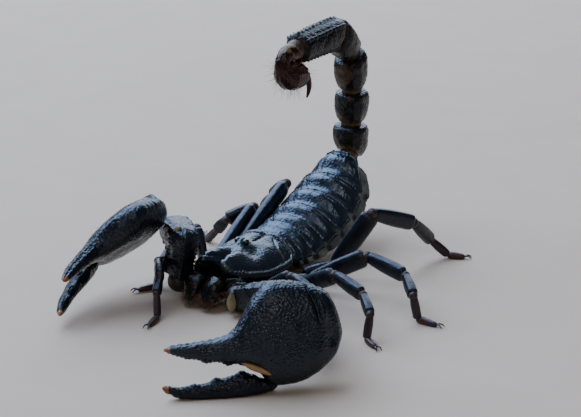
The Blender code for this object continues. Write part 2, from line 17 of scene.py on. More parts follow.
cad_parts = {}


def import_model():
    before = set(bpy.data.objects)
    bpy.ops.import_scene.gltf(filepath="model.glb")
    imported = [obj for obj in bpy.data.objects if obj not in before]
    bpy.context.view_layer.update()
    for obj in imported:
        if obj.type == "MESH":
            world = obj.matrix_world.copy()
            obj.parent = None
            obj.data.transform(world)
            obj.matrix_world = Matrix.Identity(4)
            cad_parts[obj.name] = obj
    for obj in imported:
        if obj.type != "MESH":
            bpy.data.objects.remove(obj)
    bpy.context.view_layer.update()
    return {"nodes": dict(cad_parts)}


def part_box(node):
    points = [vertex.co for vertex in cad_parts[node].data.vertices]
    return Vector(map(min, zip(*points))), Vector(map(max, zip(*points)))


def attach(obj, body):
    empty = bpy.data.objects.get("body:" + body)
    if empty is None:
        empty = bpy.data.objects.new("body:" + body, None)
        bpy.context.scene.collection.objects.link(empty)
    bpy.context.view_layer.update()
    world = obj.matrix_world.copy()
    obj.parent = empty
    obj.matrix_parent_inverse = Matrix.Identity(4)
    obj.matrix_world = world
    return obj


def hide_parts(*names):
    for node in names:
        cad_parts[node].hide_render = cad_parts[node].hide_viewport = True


LOG = logging.getLogger("scorpion")
MM = 0.001
UP = Vector((0, 0, 1))
BACK = Vector((0, 1, 0))
TURN = 2 * math.pi
WELD = 1e-3
CROWDING = 0.11

Row = tuple[float, ...]


class Side(Enum):
    """The animal's two sides, each with the sign of its x."""

    LEFT = 1
    RIGHT = -1

    @property
    def word(self) -> str:
        """The side's name as the frame's nodes use it."""
        return self.name.lower()


# ---- Shapes ----


def swell(value: float, centre: float, width: float) -> float:
    """A bell curve: 1 at the centre and about a third at one width from it."""
    return math.exp(-(((value - centre) / width) ** 2))


def ridge(value: float, shape: Row) -> float:
    """A bell curve whose shape gives its height, its centre and its width."""
    return shape[0] * swell(value, shape[1], shape[2])


def step(value: float, low: float, high: float) -> float:
    """A smooth rise from 0 at low to 1 at high."""
    share = max(0.0, min(1.0, (value - low) / (high - low)))
    return share * share * (3 - 2 * share)


def degrees_between(turn: float, other: float) -> float:
    """How many degrees lie between a turn in radians and another in degrees."""
    return abs((math.degrees(turn) - other + 180) % 360 - 180)


def slopes(places: Sequence[float], values: Sequence[float]) -> list[float]:
    """The slope at each point of a curve that keeps between its points' values.

    Args:
        places: where the points are, in rising order.
        values: the value at each point.

    Returns:
        One slope for each point.
    """
    steps = [(b - a) / (q - p) for p, q, a, b in zip(places, places[1:], values, values[1:])]
    inner = [2 * a * b / (a + b) if a * b > 0 else 0.0 for a, b in zip(steps, steps[1:])]
    return [steps[0], *inner, steps[-1]]


class Curve:
    """A smooth curve through the rows of a table, whose first column is the place along it."""

    def __init__(self, rows: Sequence[Row]) -> None:
        """Works out the slopes of every column once.

        Args:
            rows: the table, in rising order of place.
        """
        self.places = [row[0] for row in rows]
        self.columns = [[row[number] for row in rows] for number in range(1, len(rows[0]))]
        self.leans = [slopes(self.places, column) for column in self.columns]

    def at(self, place: float) -> list[float]:
        """The values at a place.

        Args:
            place: how far along the curve; past an end, the end's values hold.

        Returns:
            The value of each column after the first.
        """
        last = len(self.places) - 2
        index = max(0, min(last, sum(1 for stop in self.places if stop <= place) - 1))
        low, high = self.places[index], self.places[index + 1]
        span = high - low
        t = max(0.0, min(1.0, (place - low) / span))
        near, far = (1 + 2 * t) * (1 - t) ** 2, t * t * (3 - 2 * t)
        lean_near, lean_far = t * (1 - t) ** 2 * span, -t * t * (1 - t) * span
        return [
            near * value[index] + far * value[index + 1]
            + lean_near * lean[index] + lean_far * lean[index + 1]
            for value, lean in zip(self.columns, self.leans)
        ]


@dataclass(frozen=True)
class Ring:
    """A cross-section: its centre, its half-width and half-height as vectors, and how square it is."""

    centre: Vector
    side: Vector
    rise: Vector
    square: float = 2.3

    def point(self, turn: float) -> Vector:
        """The outline's point at a turn.

        Args:
            turn: the angle in radians, from the side vector towards the rise.

        Returns:
            The point.
        """
        power = 2.0 / self.square
        across = math.copysign(abs(math.cos(turn)) ** power, math.cos(turn))
        height = math.copysign(abs(math.sin(turn)) ** power, math.sin(turn))
        return self.centre + self.side * across + self.rise * height

    def outward(self, turn: float) -> Vector:
        """The direction straight out of the outline at this turn."""
        out = self.side.normalized() * math.cos(turn) + self.rise.normalized() * math.sin(turn)
        return out.normalized() if out.length else self.rise.normalized()


# The height of a surface and its warm tint, at a share of its length, a turn round it and a point.
Relief = Callable[[float, float, Vector], tuple[float, float]]


def frame_of(axis: Vector, hint: Vector) -> tuple[Vector, Vector]:
    """The side and rise directions square to an axis, with the rise as near the hint as it can be."""
    side = axis.cross(hint).normalized()
    return side, side.cross(axis).normalized()


def crowded(share: float) -> float:
    """Moves an even share of a length towards the nearer end, where rings lie closer."""
    return share - CROWDING * math.sin(TURN * share)


def tube(rows: int, sides: int, ring_at: Callable[[float], Ring], relief: Relief) -> bmesh.types.BMesh:
    """A closed tube, made from a grid that is wrapped round its rings and welded.

    Args:
        rows: the number of rings less one, which crowd towards the ends.
        sides: the number of faces round each ring.
        ring_at: gives the ring at each share of the length.
        relief: gives the height of the surface and its warm tint.

    Returns:
        The form, in millimetres, with a "warm" value on each vertex.
    """
    form = bmesh.new()
    bmesh.ops.create_grid(form, x_segments=sides, y_segments=rows, size=1.0)
    warm = form.verts.layers.float.new("warm")
    chart = form.loops.layers.uv.new("UVMap")
    for face in form.faces:
        for loop in face.loops:
            loop[chart].uv = ((loop.vert.co.x + 1) / 2, (loop.vert.co.y + 1) / 2)
    shares = [crowded(number / rows) for number in range(rows + 1)]
    rings = [ring_at(share) for share in shares]
    for vert in form.verts:
        row = round((vert.co.y + 1) / 2 * rows)
        turn = (vert.co.x + 1) * math.pi % TURN
        if turn > TURN - 1e-4:
            turn = 0.0
        spot = rings[row].point(turn)
        height, tint = relief(shares[row], turn, spot)
        edge = 1.0 if 0 < row < rows else 0.0
        vert.co = spot + rings[row].outward(turn) * height * edge
        vert[warm] = tint
    bmesh.ops.remove_doubles(form, verts=form.verts, dist=WELD)
    return form


def quarter(share: float) -> float:
    """A quarter circle: 0 at 0, steep at first, and level at 1."""
    return math.sqrt(max(0.0, 1 - (1 - share) ** 2))


def round_ends(share: float, near: float, far: float) -> float:
    """How wide a limb is where its two ends are rounded.

    Args:
        share: the place along the limb.
        near: the share of its length over which its start is rounded.
        far: the share of its length over which its end is rounded.

    Returns:
        The share of its full width.
    """
    if share < near:
        return quarter(share / near)
    if share > 1 - far:
        return quarter((1 - share) / far)
    return 1.0


def grit(spot: Vector, per_mm: float) -> float:
    """How high the shell's rounded granules stand at a point, from 0 to 1."""
    near = noise.voronoi(spot * per_mm)[0][0]
    return max(0.0, 1 - 2.1 * near)


def plain(share: float, turn: float, spot: Vector) -> tuple[float, float]:
    """A relief that leaves the surface smooth and untinted."""
    return 0.0, 0.0


# ---- Finishes ----


def new_group(name: str, inputs: dict[str, str], outputs: dict[str, str]) -> bpy.types.NodeTree:
    """An empty shader node group.

    Args:
        name: the group's name.
        inputs: the name and kind of each socket that it takes.
        outputs: the name and kind of each socket that it gives.

    Returns:
        The group, with its ends named "in" and "out".
    """
    group = bpy.data.node_groups.new(name, "ShaderNodeTree")
    for way, sockets in (("INPUT", inputs), ("OUTPUT", outputs)):
        for label, kind in sockets.items():
            group.interface.new_socket(name=label, in_out=way, socket_type=kind)
    group.nodes.new("NodeGroupInput").name = "in"
    group.nodes.new("NodeGroupOutput").name = "out"
    return group


def noise_node(group: bpy.types.NodeTree, scale: float, detail: float) -> bpy.types.NodeSocket:
    """A noise texture that reads the group's vector.

    Args:
        group: the node group.
        scale: how many of the noise's waves lie in a metre.
        detail: how many finer layers it has.

    Returns:
        The noise's value.
    """
    made = group.nodes.new("ShaderNodeTexNoise")
    made.inputs["Scale"].default_value = scale
    made.inputs["Detail"].default_value = detail
    group.links.new(group.nodes["in"].outputs["Vector"], made.inputs["Vector"])
    return made.outputs["Fac"]


def stretch(group: bpy.types.NodeTree, value: bpy.types.NodeSocket, low: float,
            high: float) -> bpy.types.NodeSocket:
    """Spreads a value over 0 to 1.

    Args:
        group: the node group.
        value: the value to spread.
        low: what becomes 0.
        high: what becomes 1.

    Returns:
        The spread value.
    """
    made = group.nodes.new("ShaderNodeMapRange")
    made.inputs["From Min"].default_value = low
    made.inputs["From Max"].default_value = high
    group.links.new(value, made.inputs["Value"])
    return made.outputs["Result"]


def multiply_add(group: bpy.types.NodeTree, value: bpy.types.NodeSocket, by: float,
                 plus: bpy.types.NodeSocket) -> bpy.types.NodeSocket:
    """Multiplies a value and adds another.

    Args:
        group: the node group.
        value: the value to multiply.
        by: what it is multiplied by.
        plus: what is added.

    Returns:
        The sum.
    """
    made = group.nodes.new("ShaderNodeMath")
    made.operation = "MULTIPLY_ADD"
    made.inputs[1].default_value = by
    group.links.new(value, made.inputs[0])
    group.links.new(plus, made.inputs[2])
    return made.outputs["Value"]


def blend(group: bpy.types.NodeTree, kind: str, factor: bpy.types.NodeSocket, first: bpy.types.NodeSocket,
          second: bpy.types.NodeSocket) -> bpy.types.NodeSocket:
    """Mixes two colours or two numbers.

    Args:
        group: the node group.
        kind: "RGBA" for colours or "FLOAT" for numbers.
        factor: 0 for the first and 1 for the second.
        first: the first of the two.
        second: the second of the two.

    Returns:
        The mixture.
    """
    made = group.nodes.new("ShaderNodeMix")
    made.data_type = kind
    for label, given in (("Factor", factor), ("A", first), ("B", second)):
        group.links.new(given, made.inputs[label])
    return made.outputs["Result"]


def mottle_group() -> bpy.types.NodeTree:
    """Colour that drifts between a dark and a pale tone, with warm tint where the mask asks for it; on the
    jaws part of that tint is painted glints, and on the soft body's flanks it is painted shade.

    Returns:
        The node group.
    """
    group = new_group(
        "mottle",
        {"Vector": "NodeSocketVector", "Dark": "NodeSocketColor", "Pale": "NodeSocketColor",
         "Warm": "NodeSocketColor", "Mask": "NodeSocketFloat"},
        {"Color": "NodeSocketColor"},
    )
    given = group.nodes["in"].outputs
    blotch = stretch(group, noise_node(group, scale=260.0, detail=4.0), low=0.36, high=0.66)
    tone = blend(group, "RGBA", blotch, given["Dark"], given["Pale"])
    ragged = multiply_add(group, noise_node(group, scale=900.0, detail=3.0), 0.5, given["Mask"])
    share = stretch(group, ragged, low=0.42, high=0.95)
    group.links.new(blend(group, "RGBA", share, tone, given["Warm"]), group.nodes["out"].inputs["Color"])
    return group


def grain_group() -> bpy.types.NodeTree:
    """Fine pits and pimples as a height, and a roughness that wanders between two values.

    Returns:
        The node group.
    """
    group = new_group(
        "grain",
        {"Vector": "NodeSocketVector", "Smooth": "NodeSocketFloat", "Rough": "NodeSocketFloat"},
        {"Height": "NodeSocketFloat", "Roughness": "NodeSocketFloat"},
    )
    given, out = group.nodes["in"].outputs, group.nodes["out"].inputs
    pits = group.nodes.new("ShaderNodeTexVoronoi")
    pits.inputs["Scale"].default_value = 1900.0
    group.links.new(given["Vector"], pits.inputs["Vector"])
    fine = noise_node(group, scale=1500.0, detail=5.0)
    group.links.new(multiply_add(group, pits.outputs["Distance"], -0.9, fine), out["Height"])
    drift = stretch(group, noise_node(group, scale=420.0, detail=6.0), low=0.35, high=0.68)
    group.links.new(blend(group, "FLOAT", drift, given["Smooth"], given["Rough"]), out["Roughness"])
    return group


@dataclass(frozen=True)
class Finish:
    """One surface finish: its tones, its least and greatest roughness, its grain and its gloss."""

    name: str
    dark: Row
    pale: Row
    warm: Row
    smooth: float
    rough: float
    grain: float = 0.3
    coat: float = 0.0
    coat_roughness: float = 0.12
    glint: Row = (1.0, 1.0, 1.0)
    shine: float = 0.5
    relief: float = 0.15

    def material(self) -> bpy.types.Material:
        """The finish as a material, made once.

        Returns:
            The material.
        """
        label = self.name + "_finish"
        if label in bpy.data.materials:
            return bpy.data.materials[label]
        made = bpy.data.materials.new(label)
        made.use_nodes = True
        tree = made.node_tree
        shader = tree.nodes["Principled BSDF"]
        place = tree.nodes.new("ShaderNodeTexCoord")
        mask = tree.nodes.new("ShaderNodeAttribute")
        mask.attribute_name = "warm"
        mottle = tree.nodes.new("ShaderNodeGroup")
        mottle.node_tree = bpy.data.node_groups.get("mottle") or mottle_group()
        for socket, tone in (("Dark", self.dark), ("Pale", self.pale), ("Warm", self.warm)):
            mottle.inputs[socket].default_value = (*tone, 1.0)
        grain = tree.nodes.new("ShaderNodeGroup")
        grain.node_tree = bpy.data.node_groups.get("grain") or grain_group()
        grain.inputs["Smooth"].default_value = self.smooth
        grain.inputs["Rough"].default_value = self.rough
        bump = tree.nodes.new("ShaderNodeBump")
        bump.inputs["Strength"].default_value = self.grain
        bump.inputs["Distance"].default_value = self.relief * MM
        for source, target in (
            (place.outputs["Object"], mottle.inputs["Vector"]),
            (place.outputs["Object"], grain.inputs["Vector"]),
            (mask.outputs["Fac"], mottle.inputs["Mask"]),
            (mottle.outputs["Color"], shader.inputs["Base Color"]),
            (grain.outputs["Roughness"], shader.inputs["Roughness"]),
            (grain.outputs["Height"], bump.inputs["Height"]),
            (bump.outputs["Normal"], shader.inputs["Normal"]),
        ):
            tree.links.new(source, target)
        shader.inputs["Coat Weight"].default_value = self.coat
        shader.inputs["Coat Roughness"].default_value = self.coat_roughness
        shader.inputs["Specular Tint"].default_value = (*self.glint, 1.0)
        shader.inputs["Specular IOR Level"].default_value = self.shine
        return made


# Each finish: its dark, pale and warm tones, its least and greatest roughness, and how strong its grain is.
OCHRE = (0.10, 0.078, 0.038)
OLIVE = (0.06, 0.056, 0.036)
BROWN = (0.085, 0.045, 0.02)
HORN = (0.25, 0.09, 0.025)
AMBER = (0.2, 0.08, 0.02)
BLUE = (0.68, 0.8, 1.0)
SHELL = Finish("shell", (0.0022, 0.0034, 0.0045), (0.0075, 0.0105, 0.0125), OCHRE, 0.19, 0.37, 0.6,
               glint=(0.78, 0.88, 1.0), shine=0.85)
HAND = Finish("hand", (0.0018, 0.0026, 0.0036), (0.006, 0.008, 0.0105), HORN, 0.19, 0.36, 0.8,
              glint=(0.76, 0.85, 1.0), shine=0.5)
FINGER = Finish("finger", (0.0018, 0.0022, 0.0026), (0.005, 0.0055, 0.0065), HORN, 0.19, 0.36, 0.8,
                glint=(0.8, 0.88, 1.0), shine=0.3)
ARM = Finish("arm", (0.0018, 0.0024, 0.0034), (0.006, 0.0075, 0.0095), OCHRE, 0.17, 0.34, 0.7,
             glint=(0.74, 0.84, 1.0), shine=0.5)
PLATE = Finish("plate", (0.0022, 0.0032, 0.0045), (0.007, 0.0095, 0.0125), OLIVE, 0.21, 0.37, 0.45,
               glint=BLUE, shine=0.95)
TAIL = Finish("tail", (0.0036, 0.0031, 0.0026), (0.012, 0.010, 0.0078), BROWN, 0.15, 0.3, 0.7,
              glint=(0.82, 0.88, 1.0), shine=0.27)
TAIL_TIP = Finish("tail_tip", (0.0032, 0.0032, 0.0032), (0.010, 0.0095, 0.009), BROWN, 0.13, 0.27, 0.8,
                  glint=(0.78, 0.86, 1.0), shine=0.2)
LEG = Finish("leg", (0.0022, 0.0025, 0.0034), (0.007, 0.0075, 0.0095), (0.06, 0.02, 0.01), 0.28, 0.46, 0.35,
             glint=(0.76, 0.8, 1.0), shine=0.5)
FOOT = Finish("foot", (0.0024, 0.0024, 0.003), (0.009, 0.0075, 0.008), (0.05, 0.014, 0.009), 0.28, 0.46, 0.35,
              glint=(0.8, 0.84, 1.0), shine=0.45)
STING = Finish("sting", (0.013, 0.0026, 0.002), (0.042, 0.009, 0.006), (0.16, 0.095, 0.045), 0.16, 0.36, 0.4,
               glint=(1.0, 0.88, 0.84), shine=0.32)
# The jaw's warm tone colours the warm joints and tips, and on the jaws it also paints the orange glints.
JAW = Finish("jaw", (0.003, 0.0024, 0.0022), (0.008, 0.0055, 0.004), (0.10, 0.034, 0.01), 0.14, 0.34, 0.5,
             shine=0.3)
# The fold's warm tone is near black: it is painted shade for the creases at the seams of the soft body's
# flanks.
FOLD = Finish("fold", (0.06, 0.062, 0.05), (0.19, 0.19, 0.155), (0.004, 0.004, 0.0035), 0.38, 0.6, 0.6)
CREAM = Finish("cream", (0.10, 0.068, 0.034), (0.27, 0.20, 0.115), (0.3, 0.12, 0.04), 0.35, 0.55, 0.5)
WEB = Finish("web", (0.24, 0.12, 0.035), (0.38, 0.21, 0.07), (0.12, 0.03, 0.008), 0.3, 0.5, 0.4)
TAN = Finish("tan", (0.035, 0.018, 0.008), (0.11, 0.055, 0.022), AMBER, 0.35, 0.55, 0.5)
RUST = Finish("rust", (0.010, 0.005, 0.0036), (0.042, 0.016, 0.008), AMBER, 0.35, 0.55, 0.5)
UNDER = Finish("under", (0.004, 0.003, 0.0025), (0.013, 0.009, 0.006), OCHRE, 0.3, 0.5, 0.4)
COMB = Finish("comb", (0.16, 0.10, 0.05), (0.34, 0.23, 0.12), OCHRE, 0.4, 0.6, 0.4)
EYE = Finish("eye", (0.002, 0.002, 0.002), (0.004, 0.004, 0.005), (0.02, 0.01, 0.01), 0.05, 0.09, 0.02,
             coat=0.6, coat_roughness=0.03)
CLAW = Finish("claw", (0.008, 0.003, 0.0025), (0.03, 0.010, 0.006), (0.16, 0.05, 0.02), 0.2, 0.35, 0.2,
              coat=0.2)
BRISTLE = Finish("bristle", (0.05, 0.02, 0.009), (0.20, 0.085, 0.03), (0.45, 0.17, 0.05), 0.35, 0.5, 0.1)


@dataclass(frozen=True)
class Workshop:
    """What every sub-assembly shares: the shift from the tables to the frame."""

    shift: Vector

    def finish_piece(self, name: str, form: bmesh.types.BMesh, finish: Finish,
                     nodes: Sequence[str] = ()) -> None:
        """Turns a form into a finished piece that rides on the frame's root.

        Args:
            name: the piece's name.
            form: its shape in millimetres; it is freed.
            finish: its surface finish.
            nodes: the CAD nodes that it stands for.
        """
        bmesh.ops.recalc_face_normals(form, faces=form.faces)
        form.transform(Matrix.Diagonal((MM, MM, MM, 1)) @ Matrix.Translation(self.shift))
        mesh = bpy.data.meshes.new(name)
        form.to_mesh(mesh)
        form.free()
        mesh.shade_smooth()
        mesh.materials.append(finish.material())
        piece = bpy.data.objects.new(name, mesh)
        bpy.context.scene.collection.objects.link(piece)
        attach(piece, "root")
        if nodes:
            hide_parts(*nodes)
        LOG.info("%s: %d faces", name, len(mesh.polygons))


# ---- Limbs, balls and hairs ----


@dataclass(frozen=True)
class Keel:
    """A row of beads along a limb: its turn and width in degrees, its height, and its beads a millimetre."""

    turn: float
    height: float
    width: float = 9.0
    beads: float = 1.5
    start: float = 0.04
    end: float = 0.97
    fade: float = 0.04
    dip: float = 0.45

    def at(self, share: float, turn: float, length: float) -> float:
        """The keel's height at a point of a limb.

        Args:
            share: how far along the limb the point lies.
            turn: its turn round the limb.
            length: the limb's length.

        Returns:
            The height.
        """
        off = degrees_between(turn, self.turn)
        if off > self.width * 3:
            return 0.0
        beads = self.dip + (1 - self.dip) * math.sin(math.pi * self.beads * length * share) ** 2
        begun = step(share, self.start - self.fade, self.start + self.fade)
        ended = step(share, self.end - self.fade, self.end + self.fade)
        return self.height * beads * (begun * (1 - ended)) * math.exp(-((off / self.width) ** 2))


@dataclass(frozen=True)
class Limb:
    """A straight length of a limb: a keeled and granular barrel with rounded ends."""

    start: Vector
    end: Vector
    width: float
    depth: float
    profile: tuple[Row, ...]
    hint: Vector = UP
    square: float = 2.5
    near: float = 0.12
    far: float = 0.1
    keels: tuple[Keel, ...] = ()
    grains: float = 0.05
    grain_density: float = 2.0
    lumps: float = 0.0
    lump_density: float = 0.6
    warm_near: float = 0.0
    warm_far: float = 0.0
    warm_reach: float = 0.14
    patches: float = 0.0
    patch_density: float = 0.45
    rows: int = 90
    sides: int = 48
    neighbours: tuple[Vector, Vector] | None = None

    def slanted(self, arm: Vector, axis: Vector, share: float) -> Vector:
        """A ring's arm, tilted so that the limb's ends lie in the planes halfway to its neighbours."""
        tilts = [-arm.dot(other) / (1 + axis.dot(other)) for other in self.neighbours or (axis, axis)]
        return arm + axis * (tilts[0] * (1 - share) + tilts[1] * share)

    def build(self) -> bmesh.types.BMesh:
        """The limb's form.

        Returns:
            The form.
        """
        run = self.end - self.start
        length, axis = run.length, run.normalized()
        side, rise = frame_of(axis, self.hint)
        curve = Curve(self.profile)

        def ring_at(share: float) -> Ring:
            """The ring at a share of the length.

            Args:
                share: the share.

            Returns:
                The ring.
            """
            wide = curve.at(share)[0] * round_ends(share, self.near, self.far)
            arms = (side * (self.width / 2 * wide), rise * (self.depth / 2 * wide))
            tilted = (self.slanted(arm, axis, share) for arm in arms)
            return Ring(self.start + run * share, *tilted, self.square)

        def relief(share: float, turn: float, spot: Vector) -> tuple[float, float]:
            """The keels, granules and lumps of the shell, its tint near the joints, and its patches.

            Args:
                share: how far along the form the point lies.
                turn: its turn round the form.
                spot: its place.

            Returns:
                Its height and its warm tint.
            """
            height = sum(keel.at(share, turn, length) for keel in self.keels)
            if self.grains:
                height += self.grains * grit(spot, self.grain_density)
            height += self.lumps * noise.noise(spot * self.lump_density)
            tint = self.warm_near * (1 - step(share, 0.0, self.warm_reach))
            tint += self.warm_far * step(share, 0.9, 1.0)
            tint += self.patches * step(noise.noise(spot * self.patch_density), 0.0, 0.4)
            return height * round_ends(share, self.near, self.far), tint

        return tube(self.rows, self.sides, ring_at, relief)


# The share of a limb's full width at shares of its length.
ELBOWED = ((0, 0.62), (0.08, 0.74), (0.2, 0.84), (0.6, 1.0), (0.82, 1.02), (0.93, 0.88), (1, 0.52))
KNOBBED = ((0, 0.62), (0.08, 0.74), (0.2, 0.84), (0.6, 1.0), (0.86, 0.99), (0.96, 0.94), (1, 0.86))
SHAFT = ((0, 0.72), (0.1, 0.86), (0.5, 1.0), (0.85, 0.97), (1, 0.86))


def bead(centre: Vector, radius: float, detail: int = 3) -> bmesh.types.BMesh:
    """A ball.

    Args:
        centre: its middle.
        radius: its radius.
        detail: how often its faces are divided.

    Returns:
        The form.
    """
    form = bmesh.new()
    bmesh.ops.create_icosphere(form, subdivisions=detail, radius=radius)
    bmesh.ops.translate(form, vec=centre, verts=form.verts)
    return form


def join(forms: Sequence[bmesh.types.BMesh]) -> bmesh.types.BMesh:
    """Several forms as one.

    Args:
        forms: the forms; all but the first are freed.

    Returns:
        The first form, which now holds them all.
    """
    first = forms[0]
    for other in forms[1:]:
        mesh = bpy.data.meshes.new("part")
        other.to_mesh(mesh)
        other.free()
        first.from_mesh(mesh)
        bpy.data.meshes.remove(mesh)
    return first


def lift_above(form: bmesh.types.BMesh, least: float = 0.0) -> bmesh.types.BMesh:
    """Lifts whatever lies below a level onto it.

    Args:
        form: the form to change.
        least: the level, in millimetres above the floor.

    Returns:
        The same form.
    """
    for vert in form.verts:
        vert.co.z = max(vert.co.z, least)
    return form


def ring_on(path: Curve, share: float, near: float = 0.0, far: float = 0.0) -> Ring:
    """A round ring on a curved path.

    Args:
        path: the path, whose last column is its radius.
        share: the place along it.
        near: the share of its length over which its start is rounded.
        far: the share of its length over which its end is rounded.

    Returns:
        The ring.
    """
    reach = 0.03
    x, y, z, radius = path.at(share)
    ahead, behind = path.at(min(share + reach, 1.0)), path.at(max(share - reach, 0.0))
    side, rise = frame_of((Vector(ahead[:3]) - Vector(behind[:3])).normalized(), Vector((1, 0, 0)))
    radius *= round_ends(share, near, far) if near else 1.0
    return Ring(Vector((x, y, z)), side * radius, rise * radius, 2.0)


def curved(path: Curve, rows: int, sides: int, relief: Relief, near: float, far: float) -> bmesh.types.BMesh:
    """A round tube along a path whose last column is its radius."""
    return tube(rows, sides, lambda share: ring_on(path, share, near, far), relief)


@dataclass(frozen=True)
class Bristles:
    """Stiff hairs rooted in a skin, each a thin solid cone."""

    count: int
    length: float
    radius: float = 0.035
    lean: float = 0.35
    seed: int = 1
    shortest: float = 0.45
    tip: float = 0.2
    patch: float = 0.003

    def grow(self, ring_at: Callable[[float], Ring], shares: Row, turns: Row) -> bmesh.types.BMesh:
        """Roots the hairs.

        Args:
            ring_at: gives the skin's ring at each share of its length.
            shares: the first and the last share that bear hairs.
            turns: the first and the last turn, in degrees, that bear hairs.

        Returns:
            The hairs, each with a small patch of its own at its root's place on the skin's chart.
        """
        form = bmesh.new()
        chart = form.loops.layers.uv.new("OFBake")
        pick = Random(self.seed)
        for _ in range(self.count):
            share, turn = pick.uniform(*shares), math.radians(pick.uniform(*turns))
            ring = ring_at(share)
            out = ring.outward(turn) + Vector([pick.uniform(-self.lean, self.lean) for _ in range(3)])
            out.normalize()
            root, length = ring.point(turn), self.length * pick.uniform(self.shortest, 1.0)
            place = Matrix.Translation(root + out * length * 0.45)
            made = bmesh.ops.create_cone(form, cap_ends=True, segments=3, radius1=self.radius,
                                         radius2=self.radius * self.tip, depth=length,
                                         matrix=place @ out.to_track_quat("Z", "Y").to_matrix().to_4x4())
            for face in {face for vert in made["verts"] for face in vert.link_faces}:
                for number, loop in enumerate(face.loops):
                    height = (loop.vert.co - root).dot(out) / length
                    aside = self.patch / 2 * (number % 2)
                    loop[chart].uv = (turn / TURN % 1 + aside, share + self.patch * height)
        return form


# ---- Head ----


@dataclass(frozen=True)
class Head:
    """The head shield, its eyes and its jaws."""

    height: float = 9.1
    tilt: float = 7.0
    rear: float = 9.2
    rear_rise: float = 1.6
    front: float = -8.9
    floor: float = -4.9
    side_fall: float = 4.4
    front_lift: float = 1.2
    rounding: float = 1.1
    valley: float = 1.1
    notch_depth: float = 3.4
    notch_width: float = 0.26
    tubercle: float = 1.0
    tubercle_height: float = 0.9
    eye_radius: float = 0.72
    eye_spread: float = 1.0
    eye_rise: float = 0.15
    side_eye_radius: float = 0.3
    columns: int = 150
    rows: int = 130
    # The height, the place and the width of each swelling, furrow and rim.
    lobe: Row = (0.55, 2.9, 1.5)
    cleft: Row = (0.8, 0.0, 0.9)
    crest: Row = (0.6, 0.0, 0.75)
    cheek: Row = (0.45, 4.9, 1.6)
    rear_furrow: Row = (0.35, 0.0, 0.22)
    front_furrow: Row = (0.3, 0.0, 0.3)
    saddle: Row = (0.55, 3.6, 1.5)
    rim: Row = (0.18, 0.5, 0.32)
    gutter: Row = (0.3, 1.25, 0.45)
    rim_tint: Row = (0.8, 0.52, 0.11)
    # Where the oblique furrow runs: its place along the shield at places across it.
    oblique: tuple[Row, ...] = ((0.0, 8.0), (2.6, 7.7), (3.7, 7.0), (5.7, 6.1), (7.6, 6.0))
    # Each jaw and its finger: the share of the length, the place and the half-width.
    jaw: tuple[Row, ...] = (
        (0.0, 2.3, -6.3, -7.0, 1.6), (0.25, 2.3, -8.4, -6.6, 1.9), (0.46, 2.3, -10.0, -6.1, 2.1),
        (0.68, 2.2, -11.6, -6.6, 1.8), (0.84, 2.0, -12.6, -7.8, 1.2), (1.0, 1.7, -13.1, -9.0, 0.5),
    )
    finger: tuple[Row, ...] = (
        (0.0, 3.1, -10.2, -7.6, 0.8), (0.5, 2.8, -11.7, -8.7, 0.7), (1.0, 1.9, -12.6, -9.9, 0.2),
    )

    def axes(self) -> Matrix:
        """From the head's own axes to the animal's: the shield is tilted nose up about its middle."""
        return Matrix.Translation((0, 0, self.height)) @ Matrix.Rotation(math.radians(-self.tilt), 4, "X")

    def half_width(self, y: float) -> float:
        """Half the shield's width, which grows from its lobes to just behind its middle."""
        share = (y - self.front) / (self.rear - self.front)
        return 5.0 + 3.3 * math.sin(min(share * 1.25, 1.0) * math.pi / 2)

    def lift(self, y: float) -> float:
        """How far the shield's edge has risen towards its front."""
        return self.front_lift * max(0.0, y / self.front) ** 1.5

    def dome(self, x: float, y: float) -> float:
        """The height of the shield's upper face without its fine furrows.

        Args:
            x: the place across the shield.
            y: the place along it.

        Returns:
            The height, in the head's own axes.
        """
        across = abs(x) / self.half_width(y)
        front_drop = 0.5 * max(0.0, y / self.front) ** 2
        mound = self.tubercle_height * math.exp(-((x / 1.7) ** 2 + ((y - self.tubercle) / 2.0) ** 2))
        rear = 0.5 * math.exp(-(x ** 2)) * max(0.0, min(1.0, (y - 3.0) / 2.0))
        fore = self.valley * math.exp(-((x / 1.5) ** 2)) * max(0.0, min(1.0, (-y - 0.5) / 4.0))
        rise = self.rear_rise * max(0.0, y / self.rear) ** 1.5
        return (self.lift(y) - self.side_fall) * across ** 2.4 + rise - front_drop + mound - rear - fore

    def furrow(self, x: float, y: float) -> tuple[float, float]:
        """The furrows at a place on the shield.

        Args:
            x: the place across the shield.
            y: the place along it.

        Returns:
            Their depth and their ochre tint.
        """
        off = abs(x)
        rear, front = ridge(x, self.rear_furrow), ridge(x, self.front_furrow)
        middle = rear * step(y, 3.2, 4.2) + front * step(-y, 1.5, 3.0)
        reach = step(off, 2.2, 3.4) * (1 - step(off, 6.6, 7.6))
        oblique = 0.42 * swell(y, Curve(self.oblique).at(off)[0], 0.34) * reach
        saddle = ridge(off, self.saddle) * swell(y, 0.2, 2.0)
        rear_band = 0.3 * swell(y, self.rear - 0.9, 0.3)
        return middle + oblique + saddle + rear_band, 1.5 * oblique

    def swelling(self, x: float, y: float) -> float:
        """How far the front lobes, their cleft, the crest between the eyes and the cheeks stand out.

        Args:
            x: the place across the shield.
            y: the place along it.

        Returns:
            The height.
        """
        off = abs(x)
        lobes = ridge(off, self.lobe) * step(-y, 0.5, 4.0)
        cleft = ridge(x, self.cleft) * step(-y, 0.0, 3.5)
        crest = ridge(x, self.crest) * swell(y, self.tubercle, 1.7)
        cheeks = ridge(off, self.cheek) * swell(y, 3.4, 2.4)
        return lobes - cleft + crest + cheeks

    def ends(self, off: float) -> tuple[float, float]:
        """Where the shield starts and ends lengthwise.

        Args:
            off: the place across it, as a share of its half-width from its middle.

        Returns:
            Its front end and its rear end.
        """
        front = self.front + self.notch_depth * math.exp(-((off / self.notch_width) ** 2))
        corner = 0.1 * off ** 4 + 2.0 * step(off, 0.74, 1.04) ** 2
        return front + 1.6 * off ** 5 + 1.2 * off ** 12, self.rear - corner

